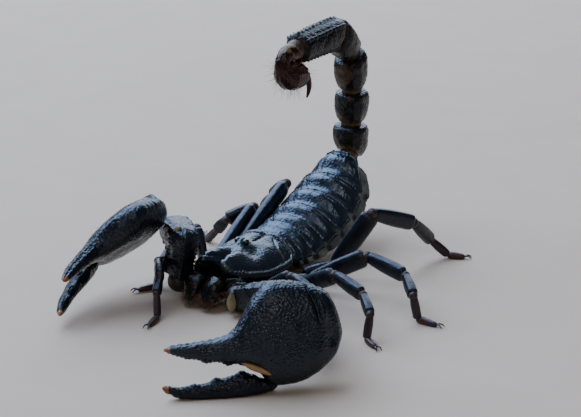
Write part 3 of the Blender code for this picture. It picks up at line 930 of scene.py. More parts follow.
    def shield(self) -> bmesh.types.BMesh:
        """The domed shield with its furrows, granules and rim.

        Returns:
            The form.
        """
        form = bmesh.new()
        bmesh.ops.create_grid(form, x_segments=self.columns, y_segments=self.rows, size=1.0)
        warm = form.verts.layers.float.new("warm")
        edge = form.verts.layers.float.new("edge")
        for vert in form.verts:
            share = (vert.co.y + 1) / 2
            off = abs(vert.co.x)
            front, rear = self.ends(off)
            y = front + (rear - front) * share
            half = self.half_width(y)
            x = vert.co.x * half
            depth, tint = self.furrow(x, y)
            rounding = self.rounding * (1 - off ** 4) * max(0.0, 1 - share / 0.12) ** 2
            spot = Vector((x, y, self.dome(x, y) + self.swelling(x, y) - depth - rounding))
            flank = min(1.0, step(off, 0.4, 0.8) + 0.5 * step(-y, 3.0, 7.0))
            spot.z += 0.08 * flank * grit(spot, 2.3) + 0.12 * noise.noise(spot * 0.5)
            inset = min((y - front) / 0.9, (1 - off) * half / 0.8, (rear - y) / 0.8)
            spot.z += ridge(inset, self.rim) - ridge(inset, self.gutter)
            vert.co = spot
            vert[warm] = tint + ridge(inset, self.rim_tint) * step(off, 0.3, 0.6)
            vert[edge] = min(1.0, max(0.0, inset))
        under = bmesh.ops.extrude_face_region(form, geom=form.faces[:])["geom"]
        for vert in (item for item in under if isinstance(item, bmesh.types.BMVert)):
            lower = min(vert.co.z - 0.5, self.floor + 0.8 * self.lift(vert.co.y) + 0.4)
            vert.co.z += (lower - vert.co.z) * vert[edge] - 0.3 * (1 - vert[edge])
        form.transform(self.axes())
        return form

    def eye(self, side: Side) -> bmesh.types.BMesh:
        """One median eye on the flank of its mound.

        Args:
            side: the animal's side.

        Returns:
            The form.
        """
        x = side.value * self.eye_spread
        spot = self.axes() @ Vector((x, self.tubercle, self.dome(x, self.tubercle) + self.eye_rise))
        return bead(spot, self.eye_radius, 4)

    def side_eyes(self) -> bmesh.types.BMesh:
        """The three small eyes at each front corner of the shield.

        Returns:
            The form.
        """
        forms = []
        for side in Side:
            for number in range(3):
                y = -7.2 + 0.85 * number
                x = side.value * (self.half_width(y) * 0.9)
                spot = self.axes() @ Vector((x, y, self.dome(x, y) + 0.05))
                forms.append(bead(spot, self.side_eye_radius))
        return join(forms)

    @staticmethod
    def upright(table: tuple[Row, ...], side: Side, rounding: Row, square: float) -> Callable[[float], Ring]:
        """Rings that stand square to the head, along a table's path.

        Args:
            table: the share of the length, the place and the half-width.
            side: the animal's side.
            rounding: the shares of the length over which the path's start and end are rounded.
            square: how square the rings are.

        Returns:
            What gives the ring at each share of the path.
        """
        path = Curve(table)

        def ring_at(share: float) -> Ring:
            """The ring at a share of the path.

            Args:
                share: the share.

            Returns:
                The ring.
            """
            x, y, z, half = path.at(share)
            half *= round_ends(share, *rounding)
            return Ring(Vector((side.value * x, y, z)), Vector((half, 0, 0)), Vector((0, 0, half)), square)

        return ring_at

    def jaw_ring(self, side: Side) -> Callable[[float], Ring]:
        """What gives the ring at each share of one jaw."""
        return self.upright(self.jaw, side, (0.06, 0.08), 2.6)

    def jaw_form(self, side: Side) -> bmesh.types.BMesh:
        """One jaw: a swollen base that narrows to a hooked fixed finger, and the finger that hooks under it.

        Args:
            side: the animal's side.

        Returns:
            The form.
        """

        def relief(share: float, turn: float, spot: Vector) -> tuple[float, float]:
            """Low granules and lumps, with warm patches that are painted orange glints of reflected light,
            and a warm tip.

            Args:
                share: how far along the form the point lies.
                turn: its turn round the form.
                spot: its place.

            Returns:
                Its height, and its warm tint: the painted glints and the warm tip.
            """
            # Painted glints: noise-picked orange specks stand in for light reflected off the glossy jaws.
            patch = step(noise.noise(spot * 0.9), 0.2, 0.5)
            height = 0.16 * grit(spot, 1.3) + 0.25 * noise.noise(spot * 0.8)
            return height, 0.35 * patch + 0.3 * step(share, 0.86, 1.0)

        base = tube(80, 48, self.jaw_ring(side), relief)
        finger = tube(30, 20, self.upright(self.finger, side, (0.12, 0.1), 2.0),
                      lambda share, turn, spot: (0.0, step(share, 0.3, 0.9)))
        form = join([base, finger])
        form.transform(self.axes())
        return form

    def jaw_hair(self, side: Side) -> bmesh.types.BMesh:
        """The fringe of hair below one jaw.

        Args:
            side: the animal's side.

        Returns:
            The hairs.
        """
        fringe = Bristles(count=260, length=1.7, seed=3 + side.value)
        form = fringe.grow(self.jaw_ring(side), (0.3, 0.98), (180, 360))
        form.transform(self.axes())
        return form

    def dress(self, shop: Workshop) -> None:
        """Puts the head's pieces on the frame.

        Args:
            shop: what finishes the pieces.
        """
        shop.finish_piece("carapace_shield", self.shield(), SHELL, ["carapace"])
        for side in Side:
            shop.finish_piece("median_eye_" + side.word, self.eye(side), EYE, ["eye_" + side.word])
            shop.finish_piece("jaw_" + side.word, self.jaw_form(side), JAW, ["chelicera_" + side.word])
            shop.finish_piece("jaw_hair_" + side.word, self.jaw_hair(side), BRISTLE)
        shop.finish_piece("lateral_eyes", self.side_eyes(), EYE)


# ---- Trunk ----


@dataclass(frozen=True)
class Stop:
    """One back plate's place: where it starts and ends, and the direction between."""

    start: Vector
    end: Vector
    axis: Vector


@dataclass(frozen=True)
class Trunk:
    """The seven back plates, the soft body below them, the leg roots and the combs."""

    head: Head
    lengths: Row = (2.0, 2.8, 3.7, 4.6, 5.3, 5.8, 6.8)
    pitches: Row = (4.0, 5.0, 12.0, 16.0, 19.0, 22.0, 27.0)
    halves: Row = (7.4, 7.8, 8.1, 8.3, 8.2, 7.7, 4.4)
    depths: Row = (6.5, 7.0, 7.8, 8.4, 8.6, 8.0, 5.2)
    front_half: float = 7.0
    start_height: float = 1.0
    thickness: float = 0.8
    gap: float = 0.3
    bend: float = -7.0
    bulge: float = 0.08
    roundness: float = 0.5
    fall_share: float = 0.54
    full_relief_length: float = 5.0
    teeth: int = 15
    columns: int = 120
    rows: int = 36
    # The height, the place and the width of each swelling and hollow of a plate.
    hump: Row = (0.68, 0.66, 0.18)
    hollow: Row = (-0.6, 0.27, 0.17)
    crest: Row = (0.1, 0.0, 0.4)
    # Each pair of leg roots: where it starts and ends lengthwise, and how far out it reaches.
    roots: tuple[Row, ...] = ((-5.4, -4.6, 5.6), (-3.0, -0.2, 7.6), (0.4, 4.4, 7.9), (3.6, 8.2, 7.4))

    def stops(self) -> list[Stop]:
        """Where each back plate lies, from the shield's rear to the tail.

        Returns:
            One stop for each plate.
        """
        point = self.head.axes() @ Vector((0, self.head.rear + self.gap, self.start_height))
        made = []
        total, done = sum(self.lengths), 0.0
        for length, pitch in zip(self.lengths, self.pitches):
            turn = math.radians(self.bend) * (done + length / 2) / total
            rise = math.radians(pitch)
            flat = math.cos(rise)
            axis = Vector((math.sin(turn) * flat, math.cos(turn) * flat, math.sin(rise)))
            made.append(Stop(point, point + axis * length, axis))
            point = point + axis * length
            done += length
        return made

    def drop(self, off: float, half: float) -> float:
        """How far a back plate falls from its middle to a share of its half-width."""
        return self.fall_share * half * off ** 2.3

    def plate_relief(self, number: int, length: float, along: float, back: float, across: Row) -> float:
        """How far a point of a back plate stands out of its smooth sheet.

        Args:
            number: the plate's number, from 1 at the front.
            length: its length.
            along: the share of its length at which the point lies.
            back: how far behind its front the point lies.
            across: the point's share of the half-width, and its distance from the middle.

        Returns:
            The height.
        """
        off = abs(across[0])
        hump = ridge(along, self.hump) * (1 - 0.6 * step(off, 0.5, 0.95))
        hollow = ridge(along, self.hollow) * (1 - step(off, 0.75, 1.0))
        crest = ridge(across[1], self.crest) * step(along, 0.25, 0.6)
        dents = -0.2 * swell(off, 0.42 + 0.1 * along, 0.1) * swell(along, 0.5, 0.22)
        if number == len(self.lengths):
            keels = sum(swell(off, place, 0.05) for place in (0.4, 0.78))
            crest += 0.25 * keels * step(along, 0.4, 0.6)
        rim = 0.3 * swell(back, length - 0.05, 0.24) - 0.16 * swell(back, length - 0.7, 0.3)
        rim -= 0.5 * swell(along, 0.0, 0.5 / length)
        edge = -0.5 * step(off, 0.92, 1.0)
        return min(1.0, length / self.full_relief_length) * (hump + hollow + crest + dents) + rim + edge

    def plate(self, number: int, stop: Stop, half_front: float, half_rear: float) -> bmesh.types.BMesh:
        """One back plate: a curved sheet with a raised rear rim and low granules.

        Args:
            number: its number, from 1 at the front.
            stop: its place.
            half_front: half its width at its front.
            half_rear: half its width at its rear.

        Returns:
            The form.
        """
        form = bmesh.new()
        bmesh.ops.create_grid(form, x_segments=self.columns, y_segments=self.rows, size=1.0)
        side, rise = frame_of(stop.axis, UP)
        length = (stop.end - stop.start).length
        warm = form.verts.layers.float.new("warm")
        for vert in form.verts:
            along, across = (vert.co.y + 1) / 2, vert.co.x
            off = abs(across)
            half = (half_front + (half_rear - half_front) * along) * (1.0 - 0.04 * swell(along, 0.0, 0.14))
            corner = 0.2 * length * step(off, 0.74, 1.0) ** 2
            back = -0.35 + (length + 0.5 - corner) * along
            lift = 0.25 * along - self.drop(off, half)
            spot = stop.start + stop.axis * back + side * (across * half) + rise * lift
            bump = 0.035 * step(along, 0.35, 0.8) * grit(spot, 2.4) + 0.07 * noise.noise(spot * 0.5)
            relief = self.plate_relief(number, length, along, back, (across, across * half))
            vert.co = spot + rise * (relief + bump)
            vert[warm] = 0.6 * swell(back, length + 0.02 - corner, 0.13) * step(off, 0.25, 0.7)
        inner = bmesh.ops.extrude_face_region(form, geom=form.faces[:])["geom"]
        for vert in (item for item in inner if isinstance(item, bmesh.types.BMVert)):
            vert.co -= rise * (self.thickness * 0.8)
        return form

    def body(self) -> bmesh.types.BMesh:
        """The soft body: pleated flanks of skin with painted shade, dark in the creases at the seams between
        the segments, and belly plates with grooves at the seams between them.

        Returns:
            The form.
        """
        stops = self.stops()
        lid = self.thickness + 0.1
        runs = [0.0]
        for stop in stops:
            runs.append(runs[-1] + (stop.end - stop.start).length)
        seams = [run / runs[-1] for run in runs]
        points = [stops[0].start] + [stop.end for stop in stops]
        halves, depths = (self.front_half, *self.halves), (self.depths[0], *self.depths)
        path = Curve([(seam, *point, half, deep)
                      for seam, point, half, deep in zip(seams, points, halves, depths)])

        def ring_at(share: float) -> Ring:
            """The ring at a share of the trunk.

            Args:
                share: the share.

            Returns:
                The ring.
            """
            x, y, z, half, _ = path.at(share)
            ahead, behind = path.at(min(share + 0.02, 1.0)), path.at(max(share - 0.02, 0.0))
            side, rise = frame_of((Vector(ahead[:3]) - Vector(behind[:3])).normalized(), UP)
            return Ring(Vector((x, y, z)) - rise * lid, side * half, rise)

        form = tube(150, 96, ring_at, plain)
        chart = form.loops.layers.uv["UVMap"]
        warm = form.verts.layers.float["warm"]
        for vert in form.verts:
            place = vert.link_loops[0][chart].uv
            share = crowded(place.y)
            half, deep = path.at(share)[3:]
            vert.co, vert[warm] = self.body_point(share, TURN * place.x, ring_at(share), half, deep, seams)
        bmesh.ops.remove_doubles(form, verts=form.verts, dist=WELD)
        return form

    def body_point(self, share: float, turn: float, ring: Ring, half: float, deep: float,
                   seams: list[float]) -> tuple[Vector, float]:
        """One point of the soft body, and its tint.

        Args:
            share: how far along the trunk it lies.
            turn: the turn round the trunk, from its left over its back.
            ring: the trunk's ring at this share.
            half: the trunk's half-width there.
            deep: the trunk's depth there.
            seams: the shares at which one plate ends and the next starts.

        Returns:
            The point and its tint, which on the flanks is painted shade in the creases at the seams.
        """
        side, rise = ring.side.normalized(), ring.rise.normalized()
        cap = round_ends(share, 0.02, 0.03)
        across, low = math.cos(turn), abs(math.sin(turn))
        if math.sin(turn) >= 0:
            drop = self.drop(abs(across), half)
            return ring.centre + side * (across * half * cap) - rise * (drop * cap), 0.0
        shoulder = self.drop(1.0, half)
        width = half * math.copysign(abs(across) ** self.roundness, across)
        width *= 1 + self.bulge * math.sin(low * math.pi)
        height = -shoulder - (deep - shoulder) * low ** 1.2
        spot = ring.centre + side * (width * cap) + rise * (height * cap)
        out = (side * across - rise * low).normalized()
        flank = 1 - step(low, 0.62, 0.78)
        seam = max(swell(share, place, 0.02) for place in seams)
        pleats = 0.10 * math.sin(26 * low + 1.2 * noise.noise(spot * 0.5)) + 0.10 * grit(spot, 1.6)
        puff = 0.45 * math.sin(math.pi * min(1.0, low / 0.7)) * (1 - 1.6 * seam)
        belly = 0.15 * (1 - seam)
        height = flank * (pleats + puff) + (1 - flank) * belly
        # On the flanks the tint is painted shade: the fold's near-black warm tone darkens the creases at the
        # seams.
        return spot + out * cap * height, min(1.0, 1.6 * seam * flank)

    def comb(self, side: Side) -> bmesh.types.BMesh:
        """One comb: a bar with a fringe of teeth along its rear edge.

        Args:
            side: the animal's side.

        Returns:
            The form.
        """
        way = side.value
        root, tip = Vector((way * 1.6, 11.6, 1.0)), Vector((way * 7.6, 14.6, 1.1))
        forms = [Limb(root, tip, 1.5, 0.7, SHAFT, grains=0.0, rows=40, sides=20).build()]
        for number in range(self.teeth):
            base = root.lerp(tip, 0.12 + 0.84 * number / self.teeth) + Vector((-way * 0.25, 0.5, -0.05))
            end = base + Vector((-way * 0.35, 0.9, -0.15))
            tooth = Limb(base, end, 0.34, 0.34, SHAFT, grains=0.0, near=0.3, far=0.3, rows=10, sides=10)
            forms.append(tooth.build())
        return join(forms)

    def leg_roots(self) -> bmesh.types.BMesh:
        """The breastbone and the four leg roots on each side, packed under the shield.

        Returns:
            The form.
        """
        axes = self.head.axes()
        start, end = Vector((0, 2.6, -8.0)), Vector((0, 8.4, -7.2))
        forms = [Limb(axes @ start, axes @ end, 3.4, 1.2, SHAFT, rows=40, sides=28).build()]
        for side in Side:
            for start_y, end_y, reach in self.roots:
                start, end = Vector((side.value, start_y, -6.8)), Vector((side.value * reach, end_y, -6.4))
                root = Limb(axes @ start, axes @ end, 3.7, 2.7, KNOBBED, square=2.8, grains=0.06,
                            warm_far=0.4, rows=60, sides=40)
                forms.append(root.build())
        return join(forms)

    def dress(self, shop: Workshop) -> None:
        """Puts the trunk's pieces on the frame.

        Args:
            shop: what finishes the pieces.
        """
        half_front = self.front_half
        for number, (stop, half_rear) in enumerate(zip(self.stops(), self.halves), start=1):
            form = self.plate(number, stop, half_front, half_rear)
            shop.finish_piece(f"back_plate_{number}", form, PLATE, [f"tergite_{number}"])
            half_front = half_rear
        shop.finish_piece("soft_body", self.body(), FOLD, ["abdomen"])
        shop.finish_piece("leg_roots", self.leg_roots(), UNDER, ["coxae"])
        for side in Side:
            shop.finish_piece("comb_" + side.word, self.comb(side), COMB, ["pectine_" + side.word])


# ---- Tail ----


@dataclass(frozen=True)
class Tail:
    """The five tail segments, their skin, the bulb and the sting."""

    joints: tuple[Row, ...] = (
        (-2.2, 42.6, 17.0), (-2.0, 43.0, 24.1), (-1.5, 42.4, 31.7), (-1.1, 41.0, 40.0), (-0.3, 34.4, 46.0),
        (0.0, 19.6, 45.2),
    )
    widths: Row = (6.9, 6.6, 6.4, 6.2, 6.1)
    root_pitch: float = 27.0
    gap: float = 0.05
    keel_turns: Row = (50, 130, 14, 166, 322, 218, 286, 254)
    last_keel_turns: Row = (45, 135, 325, 215, 270)
    profile: tuple[Row, ...] = (
        (0, 0.62), (0.08, 0.76), (0.22, 0.92), (0.5, 1.05), (0.76, 1.06), (0.92, 0.95), (1, 0.76),
    )
    last_profile: tuple[Row, ...] = (
        (0, 0.8), (0.08, 0.98), (0.3, 1.05), (0.7, 0.98), (0.93, 0.96), (1, 0.92),
    )
    # The bulb and the sting: the share of the length, the place and the radius.
    bulb: tuple[Row, ...] = (
        (0.0, 0.0, 19.9, 45.0, 1.9), (0.12, 0.0, 17.2, 44.9, 1.75), (0.25, 0.0, 15.5, 43.9, 1.5),
        (0.36, 0.0, 15.1, 42.5, 1.55), (0.49, 0.0, 15.8, 41.1, 2.2), (0.65, 0.0, 17.6, 40.3, 2.9),
        (0.83, 0.0, 20.0, 39.8, 2.7), (0.95, 0.0, 22.0, 39.4, 1.8), (1.0, 0.0, 22.7, 39.2, 1.1),
    )
    spine: tuple[Row, ...] = (
        (0.0, 0.0, 22.2, 39.3, 1.1), (0.25, 0.0, 23.4, 38.7, 0.88), (0.45, 0.0, 24.1, 37.7, 0.68),
        (0.65, 0.0, 24.4, 36.6, 0.54), (0.85, 0.0, 24.1, 35.3, 0.38), (1.0, 0.0, 23.5, 34.3, 0.16),
    )

    def directions(self) -> list[Vector]:
        """The direction of each segment, between those of the last back plate and of the bulb.

        Returns:
            One direction for each segment, and one more at each end.
        """
        joints = [Vector(joint) for joint in self.joints]
        runs = [(after - before).normalized() for before, after in zip(joints, joints[1:])]
        rise = math.radians(self.root_pitch)
        return [Vector((-0.1, math.cos(rise), math.sin(rise))).normalized(), *runs, runs[-1]]

    def segment(self, number: int) -> bmesh.types.BMesh:
        """One tail segment, keeled above, beside and below.

        Args:
            number: the segment's number, from 0 at the tail's root.

        Returns:
            The form.
        """
        start, end = Vector(self.joints[number]), Vector(self.joints[number + 1])
        before, axis, after = self.directions()[number:number + 3]
        width = self.widths[number]
        if number == len(self.widths) - 1:
            profile, patches = self.last_profile, 0.0
            keels = tuple(Keel(turn, 0.55, 5.0, 0.85) for turn in self.last_keel_turns)
        else:
            profile, patches = self.profile, 0.5
            keels = tuple(Keel(turn, 0.14, 8.0, 1.3) for turn in self.keel_turns)
        return Limb(
            start + axis * self.gap, end - axis * self.gap, width, width, profile,
            hint=-BACK if abs(axis.z) > 0.5 else -UP, square=2.4, near=0.07, far=0.08, keels=keels,
            grains=0.09, grain_density=1.6, lumps=0.12, warm_near=0.8, warm_far=0.4, warm_reach=0.26,
            patches=patches, rows=110, sides=80, neighbours=(before, after),
        ).build()

    def skin(self) -> bmesh.types.BMesh:
        """The soft skin in the joints between the segments.

        Returns:
            The form.
        """
        forms = [bead(Vector(self.joints[0]), self.widths[0] * 0.3, 4)]
        for number, joint in enumerate(self.joints[1:], start=1):
            width = self.widths[min(number, len(self.widths) - 1)]
            forms.append(bead(Vector(joint), width * 0.34, 4))
        return join(forms)

    def bulb_form(self) -> bmesh.types.BMesh:
        """The venom bulb, granular and faintly ribbed, with a pale root.

        Returns:
            The form.
        """
        def relief(share: float, turn: float, spot: Vector) -> tuple[float, float]:
            """Rows of granules, and a pale root.

            Args:
                share: how far along the form the point lies.
                turn: its turn round the form.
                spot: its place.

            Returns:
                Its height and its warm tint.
            """
            ribs = 0.12 * math.sin(turn * 6) ** 2 * step(share, 0.25, 0.5)
            patch = step(noise.noise(spot * 0.8), -0.25, 0.15)
            return 0.16 * grit(spot, 1.3) + ribs, 0.9 * (1 - step(share, 0.12, 0.26)) * patch

        return curved(Curve(self.bulb), 120, 80, relief, 0.03, 0.05)

    def hairs(self) -> bmesh.types.BMesh:
        """The hairs of the bulb.

        Returns:
            The hairs.
        """
        path = Curve(self.bulb)
        bristles = Bristles(count=200, length=3.0, radius=0.032, lean=0.4, seed=7)
        return bristles.grow(lambda share: ring_on(path, share), (0.3, 0.98), (0, 360))

    def dress(self, shop: Workshop) -> None:
        """Puts the tail's pieces on the frame.

        Args:
            shop: what finishes the pieces.
        """
        count = len(self.widths)
        for number in range(1, count + 1):
            finish = TAIL_TIP if number == count else TAIL
            form = self.segment(number - 1)
            shop.finish_piece(f"tail_segment_{number}", form, finish, [f"tail_{number}"])
        shop.finish_piece("tail_skin", self.skin(), TAN)
        shop.finish_piece("venom_bulb", self.bulb_form(), STING, ["telson_bulb"])
        shop.finish_piece("venom_bulb_hair", self.hairs(), BRISTLE)
        spine = curved(Curve(self.spine), 60, 28, plain, 0.03, 0.02)
        shop.finish_piece("sting_spine", spine, STING, ["telson_sting"])


# ---- Legs ----

# Each leg's root, knee, shin and ankle, and the places of its heel and its toe on the floor.
LEGS = {
    "left_1": ((8.2, -4.2, 2.4), (16.0, -4.3, 7.6), (21.0, -5.6, 6.4), (23.6, -5.9, 3.6),
               (24.2, -6.2), (27.2, -8.0)),
    "left_2": ((8.8, 0.2, 2.4), (22.9, 0.3, 8.0), (31.4, -2.7, 6.9), (35.6, -6.6, 5.4),
               (35.4, -7.4), (38.5, -9.1)),
    "left_3": ((9.0, 4.6, 2.3), (23.5, 10.7, 8.7), (33.1, 9.5, 7.2), (37.6, 5.2, 5.6),
               (38.2, 6.0), (42.5, 6.0)),
    "left_4": ((8.8, 9.2, 2.2), (19.4, 18.7, 14.5), (22.9, 29.0, 10.2), (22.9, 36.0, 4.3),
               (25.6, 38.6), (28.8, 40.3)),
    "right_1": ((-8.2, -4.2, 2.4), (-12.0, -10.6, 6.6), (-6.6, -16.6, 6.2), (-4.9, -19.6, 4.3),
                (-3.0, -21.8), (-2.1, -25.5)),
    "right_2": ((-8.8, 0.2, 2.4), (-13.6, 3.6, 9.0), (-15.4, -4.0, 5.4), (-13.8, -8.2, 3.9),
                (-13.6, -9.6), (-15.5, -13.1)),
    "right_3": ((-9.8, 4.8, 2.4), (-12.4, 21.4, 8.8), (-16.0, 16.4, 6.6), (-18.5, 16.3, 3.8),
                (-21.8, 17.1), (-25.0, 20.3)),
    "right_4": ((-8.8, 9.2, 2.2), (-10.6, 30.8, 11.8), (-15.6, 32.6, 7.4), (-19.6, 34.6, 3.4),
                (-23.4, 35.4), (-26.6, 37.4)),
}
# Where the thighs of the legs that stand out sideways leave the body.
HIPS = {"left_2": (12.2, 2.2, 2.4), "left_3": (12.4, 6.4, 2.5), "left_4": (12.8, 14.8, 2.8)}


@dataclass(frozen=True)
class Leg:
    """One walking leg, from its root to its claws."""

    word: str
    heel_rise: float = 0.25
    toe_rise: float = 0.14
    toe_profile: tuple[Row, ...] = ((0, 0.8), (0.3, 1.0), (0.7, 0.9), (1, 0.6))
    # Each claw: the share of its length, how far ahead, aside and up it lies, and its radius.
    claw: tuple[Row, ...] = (
        (0.0, -0.3, 0.1, 0.35, 0.2), (0.4, 0.5, 0.35, 0.62, 0.17), (0.75, 1.1, 0.5, 0.4, 0.12),
        (1.0, 1.35, 0.55, 0.06, 0.05),
    )
    # How large the ball of skin in each bend is beside the leg's width.
    skins: Row = (0.36, 0.34, 0.3, 0.24)

    @property
    def width(self) -> float:
        """The leg's width, which grows from the first pair to the fourth."""
        return {"1": 2.5, "2": 2.7, "3": 2.9, "4": 3.1}[self.word[-1]]

    def joints(self) -> list[Vector]:
        """The joints from the root to the toe.

        Returns:
            Six points.
        """
        made = [Vector(joint) for joint in LEGS[self.word][:4]]
        made.append(Vector((*LEGS[self.word][4], self.width * self.heel_rise)))
        made.append(Vector((*LEGS[self.word][5], self.width * self.toe_rise)))
        return made

    def section(self, start: Vector, end: Vector, wide: float, deep: float, warm: float) -> bmesh.types.BMesh:
        """One straight length of the leg, keeled above and below.

        Args:
            start: where it starts.
            end: where it ends.
            wide: its width beside the leg's own.
            deep: its depth beside the leg's width.
            warm: the warm tint at its far end.

        Returns:
            The form.
        """
        keels = tuple(Keel(turn, height, 8.0, 1.8) for turn, height in ((60, 0.1), (120, 0.1), (270, 0.12)))
        return Limb(start, end, self.width * wide, self.width * deep, KNOBBED, keels=keels, grains=0.03,
                    warm_near=0.2, warm_far=warm, rows=60, sides=32).build()

    def claws(self, heel: Vector, toe: Vector) -> bmesh.types.BMesh:
        """The pair of curved claws at the toe.

        Args:
            heel: the heel of the foot.
            toe: its toe.

        Returns:
            The form.
        """
        axis = (toe - heel).normalized()
        side, _ = frame_of(axis, UP)
        forms = []
        for way in (-1, 1):
            rows = []
            for share, ahead, aside, lift, radius in self.claw:
                spot = toe + axis * ahead + side * (way * aside)
                rows.append((share, spot.x, spot.y, max(toe.z * 0.3 + lift, radius), radius))
            forms.append(curved(Curve(rows), 16, 10, plain, 0.05, 0.05))
        return join(forms)

    @staticmethod
    def tinted(form: bmesh.types.BMesh, share: float, keep: float = 0.0) -> bmesh.types.BMesh:
        """Changes how warm a form's tint is.

        Args:
            form: the form to change.
            share: the tint that it gets all over.
            keep: how much of its own tint it keeps.

        Returns:
            The same form.
        """
        warm = form.verts.layers.float["warm"]
        for vert in form.verts:
            vert[warm] = vert[warm] * keep + share
        return form

    def foot(self) -> bmesh.types.BMesh:
        """The tibia and the two lengths of the foot, flat where they rest on the floor.

        Returns:
            The form.
        """
        _, _, shin, ankle, heel, toe = self.joints()
        width = self.width
        tibia = self.section(shin, ankle, 0.72, 0.86, 0.8)
        sole = Limb(ankle.lerp(heel, 0.02), heel, width * 0.56, width * 0.6, SHAFT,
                    hint=Vector((0.3, 0.2, 1)), grains=0.02, rows=36, sides=24).build()
        tip = Limb(heel.lerp(toe, -0.06), toe, width * 0.52, width * 0.5, self.toe_profile, grains=0.02,
                   rows=40, sides=24).build()
        lengths = [self.tinted(tibia, 0.0, 0.3), self.tinted(sole, 0.4), self.tinted(tip, 0.65)]
        return lift_above(join(lengths))

    def bends(self) -> list[bmesh.types.BMesh]:
        """The ball of soft skin in each bend of the leg.

        Returns:
            The balls.
        """
        _, knee, shin, ankle, heel, _ = self.joints()
        spots = (knee, shin, ankle, heel.lerp(ankle, 0.1))
        return [bead(spot, self.width * size) for spot, size in zip(spots, self.skins)]

    def dress(self, shop: Workshop) -> None:
        """Puts the leg's pieces on the frame.

        Args:
            shop: what finishes the pieces.
        """
        root, knee, shin, _, heel, toe = self.joints()
        word = self.word
        hip = Vector(HIPS.get(word, root))
        thigh = self.section(hip, knee, 0.8, 1.28, 0.75)
        if word in HIPS:
            thigh = join([self.section(root, hip, 0.72, 0.95, 0.3), thigh])
        shop.finish_piece(f"thigh_{word}", thigh, LEG, [f"leg_{word}_femur"])
        patella = self.section(knee, shin, 0.78, 1.08, 0.8)
        shop.finish_piece(f"shin_{word}", patella, LEG, [f"leg_{word}_patella"])
        shop.finish_piece(f"foot_{word}", self.foot(), FOOT, [f"leg_{word}_foot"])
        shop.finish_piece(f"claws_{word}", self.claws(heel, toe), CLAW)


# ---- Pincer arms ----

# Each arm's shoulder, elbow, the start and end of its forearm, and the heel of its hand.
ARMS = {
    Side.LEFT: ((7.3, -10.2, 3.4), (22.6, -11.9, 7.6), (22.6, -11.9, 7.6), (34.2, -22.6, 8.4),
                (39.0, -25.8, 8.5)),
    Side.RIGHT: ((-7.5, -9.9, 3.2), (-5.0, -10.2, 15.0), (-5.2, -9.6, 11.9), (-15.3, -2.0, 10.4),
                 (-17.7, -9.1, 12.3)),
}
# Each hand's direction, a hint of the direction across it, its curl in degrees, and how far its free
# finger's root and tip drop out of its plane.
HANDS = {
    Side.LEFT: ((-0.695, -0.719, 0.0), (-0.18, 0.17, 0.97), 0.0, (0.0, 0.0)),
    Side.RIGHT: ((0.091, -0.995, 0.028), (0.695, 0.084, 0.714), -19.3, (0.9, 4.0)),
}
# The bare skin that shows beside each shoulder or elbow: its two ends and its width.
MEMBRANES = {
    Side.LEFT: ((7.6, -12.3, 0.6), (7.9, -12.5, 5.3), 2.0),
    Side.RIGHT: ((-8.2, -10.6, 12.9), (-5.2, -11.4, 15.5), 1.5),
}
# How thick each upper arm is.
FULLNESS = {Side.LEFT: 1.0, Side.RIGHT: 0.84}


@dataclass(frozen=True)
class Outline:
    """A flat form in the hand's plane: its outline, the edge that bears teeth, and its mesh's fineness.

    The table gives, along the hand, its lower and upper edge and its share of the hand's thickness. Each
    tooth has a place, a height and a width."""

    table: tuple[Row, ...]
    teeth_turn: float
    teeth: tuple[Row, ...]
    rows: int
    sides: int

    def bite(self, place: float) -> float:
        """How far the teeth stand out of their edge.

        Args:
            place: the place along the hand.

        Returns:
            The height.
        """
        height = sum(tall * swell(place, where, wide) for where, tall, wide in self.teeth)
        return height + (0.14 * math.sin(4.4 * place) ** 2 if place > self.teeth[0][0] - 2.0 else 0.0)


PALM = Outline(
    table=(
        (-2.9, -0.6, 2.6, 0.4), (-2.0, -2.2, 5.2, 0.66), (-0.4, -4.0, 7.9, 0.86), (2.4, -6.2, 9.5, 1.0),
        (5.2, -7.3, 10.1, 1.0), (8.4, -7.6, 10.4, 0.98), (10.4, -7.1, 9.9, 0.92), (11.6, -5.6, 8.9, 0.86),
        (12.9, -4.2, 7.5, 0.8), (14.3, -3.5, 5.2, 0.7), (15.9, -3.2, 2.8, 0.56), (17.6, -3.0, 1.6, 0.48),
        (20.2, -2.5, 1.1, 0.42), (24.5, -1.6, 0.7, 0.32), (27.2, -0.7, 0.5, 0.2), (28.3, -0.3, 0.2, 0.08),
    ),
    teeth_turn=270.0,
    teeth=((15.0, 0.25, 0.6), (17.4, 0.5, 0.8), (21.2, 0.45, 0.9), (24.4, 0.2, 0.6)),
    rows=240,
    sides=120,
)
FREE_FINGER = Outline(
    table=(
        (8.8, -8.0, -6.9, 0.24), (10.2, -8.4, -6.5, 0.36), (11.9, -8.8, -6.1, 0.42), (12.9, -9.0, -5.4, 0.46),
        (15.0, -9.2, -5.2, 0.46), (18.6, -9.3, -5.8, 0.42), (22.0, -9.1, -6.4, 0.34),
        (25.8, -8.4, -6.7, 0.26), (28.0, -7.4, -6.3, 0.14), (28.9, -6.9, -6.2, 0.06),
    ),
    teeth_turn=90.0,
    teeth=((15.0, 0.6, 0.9), (19.6, 0.6, 0.8), (23.4, 0.3, 0.7)),
    rows=150,
    sides=56,
)


